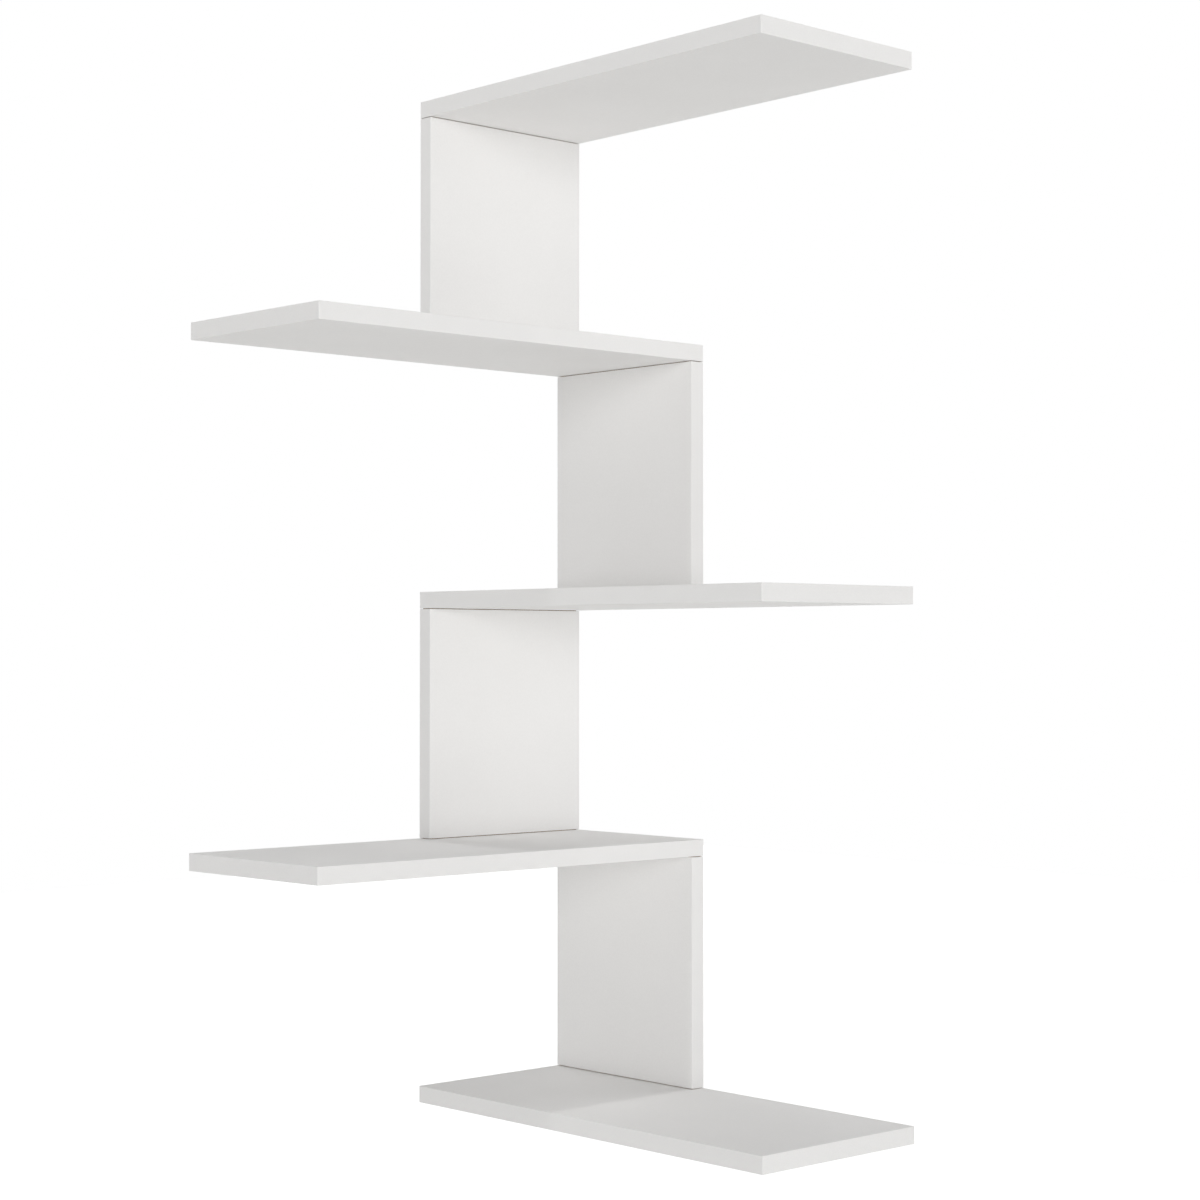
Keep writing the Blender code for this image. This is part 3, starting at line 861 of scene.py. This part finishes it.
def shelf_bores(number):
    """Cutters for the bolts and dowels of the upright on a shelf and of the one under it."""
    chosen = settings().fittings
    low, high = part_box(f"shelf_{number}")
    cutters = []
    for upright, end in ((number - 1, FOOT), (number, HEAD)):
        if not 1 <= upright <= UPRIGHT_COUNT:
            continue
        fittings = [(f"bolt_{upright}_{end}_{side}", chosen.core) for side in SIDES]
        fittings.append((f"dowel_{upright}_{end}", DOWEL.x / 2 + chosen.gap))
        for fitting, radius in fittings:
            bottom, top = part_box(fitting)
            span = (low.z - OVERRUN, top.z + chosen.gap)
            if end == FOOT:
                span = (bottom.z - chosen.gap, high.z + OVERRUN)
            centre = middle(fitting)
            cutters.append(bore(radius, span, centre.x, centre.y))
    return cutters


class WALLSHELF_OT_shelves(bpy.types.Operator):
    """Models the five shelves, inside their bands, with the bores for their bolts and dowels"""

    bl_idname = "wall_shelf.shelves"
    bl_label = "Shelves"

    def execute(self, context):
        sizes = settings().boards
        inset = sizes.band + sizes.seam
        for number in SHELVES:
            low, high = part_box(f"shelf_{number}")
            board = block(f"white_shelf_{number}", (low.x, low.y + inset, low.z),
                          (high.x - inset, high.y, high.z))
            eased(board, lambda edge: on_plane(edge, (X, low.x), (Y, high.y)), sizes.sawn, SAWN_STEPS)
            combined(board, [joined(shelf_bores(number))])
            dressed_board(board, Z, low.z)
            finished(board, None, BOARD_SLOT, f"shelf_{number}")
        return {"FINISHED"}


def rims(number):
    """Heights of the rims at an upright's foot and head, in its own frame."""
    relief = settings().boards.relief
    return relief, box_size(f"upright_{number}").z - relief


def upright_cutters(template):
    """Two sets of cutters in an upright's frame: those in the faces, and those that run into them."""
    sizes, plates = settings().fittings, settings().plates
    into = upright_place(template).inverted()
    height = box_size(f"upright_{template}").z
    across = X if wall_of(f"upright_{template}") == LEFT else Y
    shallow, deep = [], []
    for end in ENDS:
        for side in SIDES:
            cam = f"cam_{template}_{end}_{side}"
            depth = box_size(cam)[across] + sizes.gap
            seat = in_wall(template, cam)
            for_cam = drum("cam_bore", sizes.cam_radius + sizes.gap, -depth, OVERRUN, ROUND_FACETS)
            shallow.append(moved(for_cam, seat))
            reach = seat.translation.z
            span = (-OVERRUN, reach) if end == FOOT else (reach, height + OVERRUN)
            deep.append(bore(sizes.collar + sizes.gap, span, seat.translation.x, BOARD / 2))
        bottom, top = (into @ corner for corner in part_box(f"dowel_{template}_{end}"))
        span = (-OVERRUN, top.z + sizes.gap) if end == FOOT else (bottom.z - sizes.gap, height + OVERRUN)
        deep.append(bore(DOWEL.x / 2 + sizes.gap, span, (bottom.x + top.x) / 2, BOARD / 2))
    seat = in_wall(template, f"hanger_{template}")
    recess = PLATE.x + sizes.gap
    half = PLATE.y / 2
    straight = PLATE.z / 2 - half
    for_plate = slot_block("plate_recess", half + sizes.gap, -straight, straight, -recess, OVERRUN,
                           FINE_FACETS)
    shallow.append(moved(for_plate, seat))
    for_head = slot_block("head_pocket", plates.entry_radius + plates.head_room, -plates.entry_drop,
                          plates.slot_rise, -plates.pocket_depth, OVERRUN, ROUND_FACETS)
    deep.append(moved(for_head, seat))
    for side in (-1, 1):
        pilot = drum("pilot", plates.pilot_radius, -recess - plates.pilot_depth, OVERRUN, PILOT_FACETS)
        deep.append(moved(pilot, seat @ at(0, side * plates.screw_spread, 0)))
    return shallow, deep


class WALLSHELF_OT_uprights(bpy.types.Operator):
    """Models one upright with its bores and the seat of its keyhole plate, and copies it"""

    bl_idname = "wall_shelf.uprights"
    bl_label = "Uprights"

    def execute(self, context):
        sizes = settings().boards
        inset = sizes.band + sizes.seam
        foot, head = rims(1)
        model = block("upright_model", (inset, 0, foot), (DEPTH - inset, BOARD, head))
        eased(model, lambda edge: on_plane(edge, (Z, foot), (Z, head)) and on_plane(edge, *FACES),
              sizes.eased, EASE_STEPS)
        for level, way in ((foot, -1), (head, 1)):
            self.bear(model, level, way * (sizes.relief + seat_gap() - sizes.contact))
        for cutters in upright_cutters(1):
            combined(model, [joined(cutters)])
        dressed_board(model, Y, 0)
        for number in UPRIGHTS:
            board = copied(model, f"white_upright_{number}", upright_place(number))
            finished(board, None, BOARD_SLOT, f"upright_{number}")
        removed(model)
        return {"FINISHED"}

    def bear(self, model, level, rise):
        """Raises the end inside its rim up to the shelf that it bears on."""
        pick(model, "FACE", lambda face: abs(face.calc_center_median().z - level) < NEAR)
        bpy.ops.mesh.inset(thickness=settings().boards.rim)
        drawn_up(rise)
        leave_edit()


def band(name, low, high, outer, sharp):
    """A strip between two corners, rounded along its outer planes but not along the sharp ones."""
    sizes = settings().boards
    strip = block(name, low, high)
    eased(strip, lambda edge: on_plane(edge, *outer) and not on_plane(edge, *sharp), sizes.arris,
          sizes.arris_steps)
    return strip


class WALLSHELF_OT_bands(bpy.types.Operator):
    """Models the edge bands: the front and the free end of each shelf, and both sides of each upright"""

    bl_idname = "wall_shelf.bands"
    bl_label = "Edge bands"

    def execute(self, context):
        for number in SHELVES:
            self.band_shelf(number)
        for number in UPRIGHTS:
            self.band_upright(number)
        return {"FINISHED"}

    def band_shelf(self, number):
        """The long band runs on over the end of the short one."""
        sizes = settings().boards
        low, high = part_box(f"shelf_{number}")
        outer = ((X, high.x), (Y, low.y))
        by_x, by_y = high.x - sizes.band, low.y + sizes.band
        long_way = X if wall_of(f"shelf_{number}") == RIGHT else Y
        if long_way == X:
            past = by_y + sizes.seam
            front = low, (high.x, by_y, high.z), ((Y, by_y),)
            end = (by_x, past, low.z), high, ((X, by_x), (Y, past))
        else:
            past = by_x - sizes.seam
            front = (by_x, low.y, low.z), high, ((X, by_x),)
            end = low, (past, by_y, high.z), ((Y, by_y), (X, past))
        for side, (start, stop, seams) in (("front", front), ("end", end)):
            strip = band(f"shelf_{number}_band_{side}", start, stop, outer, seams)
            finished(smoothed(strip), finish("white_band"), BOARD_SLOT)

    def band_upright(self, number):
        """The ends of both bands are eased like the board's, but not at its seams."""
        sizes = settings().boards
        foot, head = rims(number)
        near = "corner" if wall_of(f"upright_{number}") == LEFT else "front"
        far = "front" if near == "corner" else "corner"
        ends = ((Z, foot), (Z, head))
        for side, outer, seam in ((near, 0, sizes.band), (far, DEPTH, DEPTH - sizes.band)):
            strip = band(f"upright_{number}_band_{side}", (min(outer, seam), 0, foot),
                         (max(outer, seam), BOARD, head), ((X, outer),), ends)
            eased(strip, lambda edge: on_plane(edge, *ends) and not on_plane(edge, (X, seam)),
                  sizes.eased, EASE_STEPS)
            moved(strip, upright_place(number))
            finished(smoothed(strip), finish("white_band"), BOARD_SLOT)


# Fittings

def cam_point(angle, radius):
    """A point at an angle from the cam's Y, the way in which it turns."""
    return (-radius * math.sin(angle), radius * math.cos(angle))


def cross_cutters(size, width, depth, top):
    """Two crossed bars that narrow downwards, for a cross recess."""
    bars = []
    for half_x, half_y in ((size / 2, width / 2), (width / 2, size / 2)):
        bar = block("cross", (-half_x, -half_y, top - depth), (half_x, half_y, top + OVERRUN))
        pick(bar, "FACE", lambda face: face.normal.z < DOWNWARD)
        bpy.ops.transform.resize(value=(CROSS_TAPER, CROSS_TAPER, 1),
                                 center_override=(0, 0, top - depth))
        leave_edit()
        bars.append(bar)
    return bars


def thread_ridge(core, crest, pitch, low, high, sides):
    """A closed V-shaped ridge that winds about Z and dies out under the surface at both ends."""
    deselect()
    bpy.ops.mesh.primitive_circle_add(vertices=TRIANGLE, radius=core, fill_type="NOTHING")
    ridge = settled("thread")
    root, half = core * RIDGE_ROOT, pitch * RIDGE_HALF_WIDTH
    profile = ((root, 0, low - half), (crest, 0, low), (root, 0, low + half))
    for corner, place in zip(ridge.data.vertices, profile):
        corner.co = place
    turns = max(1, math.floor((high - low) / pitch))
    wind = ridge.modifiers.new("wind", "SCREW")
    wind.axis = "Z"
    wind.angle = 2 * HALF_TURN
    wind.screw_offset = pitch
    wind.iterations = turns
    wind.steps = wind.render_steps = sides
    wind.use_merge_vertices = False
    apply(ridge, wind)
    buried = (root + core) / 2
    for corner in ridge.data.vertices:
        reach = math.hypot(corner.co.x, corner.co.y)
        within = (corner.co.z - low) / pitch
        if reach > core and not RIDGE_RUN_OUT < within < turns - RIDGE_RUN_OUT:
            corner.co.x *= buried / reach
            corner.co.y *= buried / reach
    open_whole(ridge)
    bpy.ops.mesh.fill_holes(sides=TRIANGLE)
    leave_outward()
    return moved(ridge, spin(HALF_TURN / sides))


def cam_model():
    """A cam with its Z out of the wall face and its Y towards the shelf, its ball locked.

    The hollow opens below and to one side, and a narrow slot runs round from there to the bolt.
    """
    sizes = settings().fittings
    height = box_size("cam_1_foot_corner").x
    radius, chamfer = sizes.cam_radius, sizes.cam_chamfer
    profile = ((-height, radius - chamfer), (chamfer - height, radius), (-chamfer, radius),
               (0, radius - chamfer))
    cam = turned("cam_model", profile, FINE_FACETS)
    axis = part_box("cam_1_foot_corner")[0].x - BOARD / 2
    roof = axis + sizes.ball + sizes.claw_gap
    least = sizes.ball + sizes.gap
    spiral = []
    for step in range(SPIRAL_STEPS):
        angle = 2 * HALF_TURN * step / SPIRAL_STEPS
        turned_share = angle / sizes.entry_angle if angle <= sizes.entry_angle else 0
        spiral.append(cam_point(angle, least + sizes.cam_rise * turned_share))
    hollow = prism("hollow", spiral, -height - OVERRUN, roof)
    half, outside = sizes.neck + sizes.gap, radius + OVERRUN
    fan = [(0, 0), (half, 0), (half, outside)]
    fan += [cam_point(sizes.entry_angle * step / FAN_STEPS, outside) for step in range(FAN_STEPS + 1)]
    slot = prism("slot", fan, axis - half, axis + half)
    entry = block("entry", (-least, 0, -height - OVERRUN), (least, outside, roof))
    towards = spin(sizes.entry_angle)
    moved(entry, towards)
    arrow = drum("arrow", sizes.arrow / math.sqrt(3), -sizes.arrow_depth, OVERRUN, TRIANGLE)
    moved(arrow, towards @ at(0, radius - 2 * chamfer - sizes.arrow * ARROW_MIDDLE, 0))
    combined(cam, [hollow, slot, entry, arrow,
                   *cross_cutters(sizes.cross_length, sizes.cross_width, sizes.cross_depth, 0)])
    return smoothed(cam)


class WALLSHELF_OT_cams(bpy.types.Operator):
    """Models one cam and copies it into its sixteen bores"""

    bl_idname = "wall_shelf.cams"
    bl_label = "Cams"

    def execute(self, context):
        model = cam_model()
        for number, end, side in product(UPRIGHTS, ENDS, SIDES):
            name = f"cam_{number}_{end}_{side}"
            place = upright_place(number) @ in_wall(number, name)
            if end == FOOT:
                place = place @ spin(HALF_TURN)
            finished(copied(model, f"zinc_{name}", place), finish("cast_zinc"), CAM_SLOT, name)
        removed(model)
        return {"FINISHED"}


def bolt_model():
    """A bolt with its thread in the shelf below the origin and its ball in the cam above it."""
    sizes = settings().fittings
    depth = depth_in_shelf("bolt_4_foot_front")
    seat = seat_gap()
    ball_top = box_size("bolt_4_foot_front").z - depth
    centre = ball_top - math.sqrt(sizes.ball ** 2 - sizes.neck ** 2)
    neck_start = centre - sizes.cam_radius - sizes.gap
    shank_end = neck_start - sizes.shank + sizes.neck
    collar_top = seat + sizes.collar_height
    brim = sizes.collar - sizes.collar_ease
    profile = [(-depth, sizes.core * BOLT_TIP), (-depth + sizes.core * BOLT_TIP_RISE, sizes.core),
               (seat, sizes.core), (seat, brim), (seat + sizes.collar_ease, sizes.collar),
               (collar_top - sizes.collar_ease, sizes.collar), (collar_top, brim),
               (collar_top, sizes.shank), (shank_end, sizes.shank), (neck_start, sizes.neck)]
    joins = math.asin(sizes.neck / sizes.ball)
    for step in range(BALL_STEPS + 1):
        angle = HALF_TURN - joins - step * (HALF_TURN - 2 * joins) / BALL_STEPS
        profile.append((centre + sizes.ball * math.cos(angle), sizes.ball * math.sin(angle)))
    bolt = turned("bolt_model", profile, BOLT_FACETS)
    start, end = -depth + sizes.pitch * BOLT_THREAD_START, -sizes.pitch * BOLT_THREAD_END
    ridge = thread_ridge(sizes.core, sizes.crest, sizes.pitch, start, end, BOLT_FACETS)
    return smoothed(combined(bolt, [ridge], "UNION"))


class WALLSHELF_OT_bolts(bpy.types.Operator):
    """Models one threaded cam bolt and copies it to its sixteen places"""

    bl_idname = "wall_shelf.bolts"
    bl_label = "Cam bolts"

    def execute(self, context):
        model = bolt_model()
        depth = depth_in_shelf("bolt_4_foot_front")
        for number, end, side in product(UPRIGHTS, ENDS, SIDES):
            name = f"bolt_{number}_{end}_{side}"
            bolt = copied(model, f"steel_{name}", along_joint(name, end, depth))
            finished(bolt, finish("steel_plating"), STEEL_SLOT, name)
        removed(model)
        return {"FINISHED"}


def dowel_model():
    """A dowel with its flutes, and its foot in the shelf below the origin."""
    sizes = settings().fittings
    depth = depth_in_shelf("dowel_4_foot")
    radius, chamfer = DOWEL.x / 2, sizes.dowel_chamfer
    top = DOWEL.z - depth
    low_ring, high_ring = chamfer - depth, top - chamfer
    inset = radius - chamfer * DOWEL_END
    profile = ((-depth, inset), (low_ring, radius), (high_ring, radius), (top, inset))
    dowel = turned("dowel_model", profile, ROUND_FACETS)
    shrink = 1 - sizes.flute / radius
    for corner in dowel.data.vertices:
        step = round((math.atan2(corner.co.y, corner.co.x) / (2 * HALF_TURN)) * ROUND_FACETS)
        if step % FLUTE_FACETS == 0 and low_ring - NEAR < corner.co.z < high_ring + NEAR:
            corner.co.x *= shrink
            corner.co.y *= shrink
    return smoothed(dowel, SHARP_FLUTE)


class WALLSHELF_OT_dowels(bpy.types.Operator):
    """Models one fluted dowel and copies it to its eight places"""

    bl_idname = "wall_shelf.dowels"
    bl_label = "Dowels"

    def execute(self, context):
        model = dowel_model()
        depth = depth_in_shelf("dowel_4_foot")
        for number, end in product(UPRIGHTS, ENDS):
            name = f"dowel_{number}_{end}"
            dowel = copied(model, f"beech_{name}", along_joint(name, end, depth))
            finished(dowel, finish("beech_wood"), DOWEL_SLOT, name)
        removed(model)
        return {"FINISHED"}


def plate_model():
    """A keyhole plate with its Z out of the wall face and its middle at the origin."""
    plates = settings().plates
    half, thickness = PLATE.y / 2, PLATE.x
    straight = PLATE.z / 2 - half
    plate = slot_block("plate_model", half, -straight, straight, -thickness, 0, FINE_FACETS)
    before, past = -thickness - OVERRUN, OVERRUN
    entry = drum("entry", plates.entry_radius, before, past, ROUND_FACETS)
    moved(entry, at(0, -plates.entry_drop, 0))
    slot = slot_block("slot", plates.slot_radius, -plates.entry_drop, plates.slot_rise, before, past,
                      ROUND_FACETS)
    cutters = [entry, slot]
    slope = (plates.sink_radius - plates.screw_hole) / plates.sink_depth
    for side in (-1, 1):
        profile = ((before, plates.screw_hole), (-plates.sink_depth, plates.screw_hole),
                   (past, plates.sink_radius + slope * past))
        sink = turned("countersink", profile, ROUND_FACETS)
        cutters.append(moved(sink, at(0, side * plates.screw_spread, 0)))
    combined(plate, cutters)
    edge = plate.modifiers.new("edge", "BEVEL")
    edge.width = plates.edge
    edge.segments = PLATE_STEPS
    edge.limit_method = "ANGLE"
    edge.angle_limit = BEVELLED
    apply(plate, edge)
    return smoothed(plate)


def screw_model():
    """A countersunk cross-head screw with its Z out of the plate, its head's rim at the origin."""
    plates = settings().plates
    head, core, crown = plates.screw_head, plates.screw_core, plates.screw_crown
    depth = plates.sink_depth * head / plates.sink_radius
    tip = PLATE.x + plates.pilot_depth - plates.screw_sink
    top = crown * CROWN_RISE
    profile = ((-tip, core * SCREW_TIP), (-tip + core * SCREW_TIP_RISE, core), (-depth - core, core),
               (-depth, plates.screw_hole * SCREW_NECK), (-crown, head - crown), (0, head),
               (crown, head - crown * CROWN_EASE), (top, head * CROWN_FLAT))
    screw = turned("screw_model", profile, ROUND_FACETS)
    ridge = thread_ridge(core, plates.screw_crest, plates.screw_pitch, -tip + plates.screw_pitch,
                         -depth - core, ROUND_FACETS)
    combined(screw, [ridge], "UNION")
    combined(screw, cross_cutters(head * CROSS_LENGTH, head * CROSS_WIDTH, head * CROSS_DEPTH, top))
    return smoothed(screw)


class WALLSHELF_OT_plates(bpy.types.Operator):
    """Models one keyhole plate and copies it into its four seats"""

    bl_idname = "wall_shelf.plates"
    bl_label = "Keyhole plates"

    def execute(self, context):
        model = plate_model()
        for number in UPRIGHTS:
            name = f"hanger_{number}"
            plate = copied(model, f"steel_{name}", upright_place(number) @ in_wall(number, name))
            finished(plate, finish("steel_plating"), STEEL_SLOT, name)
        removed(model)
        return {"FINISHED"}


class WALLSHELF_OT_screws(bpy.types.Operator):
    """Models one countersunk screw and copies it into the eight holes of the keyhole plates"""

    bl_idname = "wall_shelf.screws"
    bl_label = "Plate screws"

    def execute(self, context):
        plates = settings().plates
        model = screw_model()
        for number in UPRIGHTS:
            seat = upright_place(number) @ in_wall(number, f"hanger_{number}")
            for title, (side, turn) in SCREW_TURNS.items():
                sunk = at(0, side * plates.screw_spread, -plates.screw_sink)
                place = seat @ sunk @ spin(math.radians(turn + TURN_PER_UPRIGHT * number))
                screw = copied(model, f"plate_screw_{number}_{title}", place)
                finished(screw, finish("steel_plating"), STEEL_SLOT)
        removed(model)
        return {"FINISHED"}


# Studio

def added(name, data):
    """A lamp or a camera, put into the scene."""
    made = bpy.data.objects.new(name, data)
    bpy.context.scene.collection.objects.link(made)
    return made


# Each sun's angle round from +X, its angle above the level, its spread and its strength
SUNS = {
    "key": (-88, 62, 1.0, 0.30),
    "front": (-50, 0, 30, 1.45),
    "right": (0, 0, 30, 0.68),
    "high_back": (80, 50, 30, 0.42),
    "high_left": (170, 30, 40, 0.59),
}

# Each lamp's angle round from +X, its angle above the level, its distance, its width and its power
LAMPS = {
    "low_right": (-20, -25, 2.4, 1.2, 4.1),
    "low_back": (90, -20, 3.0, 1.5, 15.4),
    "low_left": (180, -20, 3.0, 1.5, 11.1),
}

WHITE = (1, 1, 1, 1)

# The floor's roughness, and its clouding: its number to a metre, the noise that it takes in and how
# much it darkens
FLOOR_ROUGHNESS, FLOOR_CLOUD_SCALE, FLOOR_CLOUD_NOISE, FLOOR_SHADE = 0.8, 3.0, (0.3, 0.7), 0.02


def ground_rays(tree):
    """One for a ray that sees the white ground: the camera's, and those that metal mirrors."""
    path = node(tree, "ShaderNodeLightPath").outputs
    mirrored = calculated(tree, "MAXIMUM", path["Is Glossy Ray"], path["Is Transmission Ray"])
    return calculated(tree, "MAXIMUM", path["Is Camera Ray"], mirrored)


class WALLSHELF_OT_stage(bpy.types.Operator):
    """Sets the floor, the light and the camera"""

    bl_idname = "wall_shelf.stage"
    bl_label = "Stage"

    def execute(self, context):
        studio = settings().studio
        low, high = CAD_BOX
        centre = (Vector(low) + Vector(high)) / 2
        self.lay_floor(studio, centre, low[Z])
        self.surround(studio)
        for name, (turn, rise, spread, strength) in SUNS.items():
            sun = self.lamp(name, "SUN", centre, 1, turn, rise).data
            sun.angle = math.radians(spread)
            sun.energy = strength
        for name, (turn, rise, distance, width, power) in LAMPS.items():
            disc = self.lamp(name, "AREA", centre, distance, turn, rise)
            disc.data.shape = "DISK"
            disc.data.size = width
            disc.data.energy = power
        self.set_camera(studio)
        view = bpy.context.scene.view_settings
        view.view_transform = "Standard"
        return {"FINISHED"}

    def lay_floor(self, studio, centre, base):
        """A plain floor that the camera sees as white, but for the shelf's shadow."""
        deselect()
        bpy.ops.mesh.primitive_plane_add(size=studio.floor_width,
                                         location=(centre.x, centre.y, base - studio.floor_drop))
        floor = settled("floor")
        tree, shader, place = material("pale_floor", FLOOR_ROUGHNESS)
        tint = settings().finishes.floor
        clouds = ranged(tree, noise(tree, place, FLOOR_CLOUD_SCALE, detail=3.0), *FLOOR_CLOUD_NOISE)
        tree.links.new(mixed(tree, clouds, darker(tint, FLOOR_SHADE), tint), shader.inputs["Base Color"])
        shader.inputs["Emission Color"].default_value = WHITE
        glow = times(tree, ground_rays(tree), studio.floor_glow)
        tree.links.new(glow, shader.inputs["Emission Strength"])
        clear = node(tree, "ShaderNodeBsdfTransparent")
        under = node(tree, "ShaderNodeNewGeometry").outputs["Backfacing"]
        blend = node(tree, "ShaderNodeMixShader",
                     {0: under, 1: shader.outputs["BSDF"], 2: clear.outputs["BSDF"]})
        tree.links.new(blend.outputs["Shader"], tree.nodes["Material Output"].inputs["Surface"])
        floor.data.materials.append(finish("pale_floor"))

    def surround(self, studio):
        """Even light from all round, which the camera and the metal see as white."""
        world = bpy.data.worlds.new("studio")
        world.use_nodes = True
        bpy.context.scene.world = world
        tree = world.node_tree
        tree.nodes.clear()
        strength = ranged(tree, ground_rays(tree), 0.0, 1.0, studio.surround, 1.0)
        back = node(tree, "ShaderNodeBackground", {"Color": WHITE, "Strength": strength})
        node(tree, "ShaderNodeOutputWorld", {"Surface": back.outputs["Background"]})

    def lamp(self, name, kind, centre, distance, turn, rise):
        """A lamp that faces the shelf and that neither the camera nor a reflection shows."""
        lamp = added(name, bpy.data.lights.new(name, kind))
        turn, rise = math.radians(turn), math.radians(rise)
        across = distance * math.cos(rise)
        offset = Vector((across * math.cos(turn), across * math.sin(turn), distance * math.sin(rise)))
        lamp.location = centre + offset
        lamp.rotation_euler = offset.to_track_quat("Z", "Y").to_euler()
        lamp.visible_camera = False
        lamp.visible_glossy = False
        return lamp

    def set_camera(self, studio):
        camera = added("camera", bpy.data.cameras.new("camera"))
        camera.data.lens = studio.lens
        camera.location = studio.eye
        camera.rotation_euler = (HALF_TURN / 2 + studio.tilt, 0, studio.turn)
        bpy.context.scene.camera = camera


class WALLSHELF_PG_all(bpy.types.PropertyGroup):
    """Everything that can be set."""

    boards: PointerProperty(type=WALLSHELF_PG_boards)
    fittings: PointerProperty(type=WALLSHELF_PG_fittings)
    plates: PointerProperty(type=WALLSHELF_PG_plates)
    finishes: PointerProperty(type=WALLSHELF_PG_finishes)
    studio: PointerProperty(type=WALLSHELF_PG_studio)


STEPS = (WALLSHELF_OT_finishes, WALLSHELF_OT_shelves, WALLSHELF_OT_uprights, WALLSHELF_OT_bands,
         WALLSHELF_OT_cams, WALLSHELF_OT_bolts, WALLSHELF_OT_dowels, WALLSHELF_OT_plates,
         WALLSHELF_OT_screws, WALLSHELF_OT_stage)


class WALLSHELF_PT_sidebar(bpy.types.Panel):
    """Lists the steps in order, with the settings under them"""

    bl_label = "Corner wall shelf"
    bl_idname = "WALLSHELF_PT_sidebar"
    bl_space_type = "VIEW_3D"
    bl_region_type = "UI"
    bl_category = "Wall shelf"

    def draw(self, context):
        for step in STEPS:
            self.layout.operator(step.bl_idname)
        for title in ("boards", "fittings", "plates", "finishes", "studio"):
            box = self.layout.box()
            box.label(text=title.capitalize())
            group = getattr(settings(), title)
            for name in group.bl_rna.properties.keys():
                if name not in {"rna_type", "name"}:
                    box.prop(group, name)


CLASSES = (WALLSHELF_PG_boards, WALLSHELF_PG_fittings, WALLSHELF_PG_plates, WALLSHELF_PG_finishes,
           WALLSHELF_PG_studio, WALLSHELF_PG_all, *STEPS, WALLSHELF_PT_sidebar)


def register():
    for each in CLASSES:
        bpy.utils.register_class(each)
    bpy.types.Scene.wall_shelf = PointerProperty(type=WALLSHELF_PG_all)


def unregister():
    del bpy.types.Scene.wall_shelf
    for each in reversed(CLASSES):
        bpy.utils.unregister_class(each)


def main():
    register()
    bpy.ops.wall_shelf.finishes()
    bpy.ops.wall_shelf.shelves()
    bpy.ops.wall_shelf.uprights()
    bpy.ops.wall_shelf.bands()
    bpy.ops.wall_shelf.cams()
    bpy.ops.wall_shelf.bolts()
    bpy.ops.wall_shelf.dowels()
    bpy.ops.wall_shelf.plates()
    bpy.ops.wall_shelf.screws()
    bpy.ops.wall_shelf.stage()


if __name__ == "__main__":
    main()
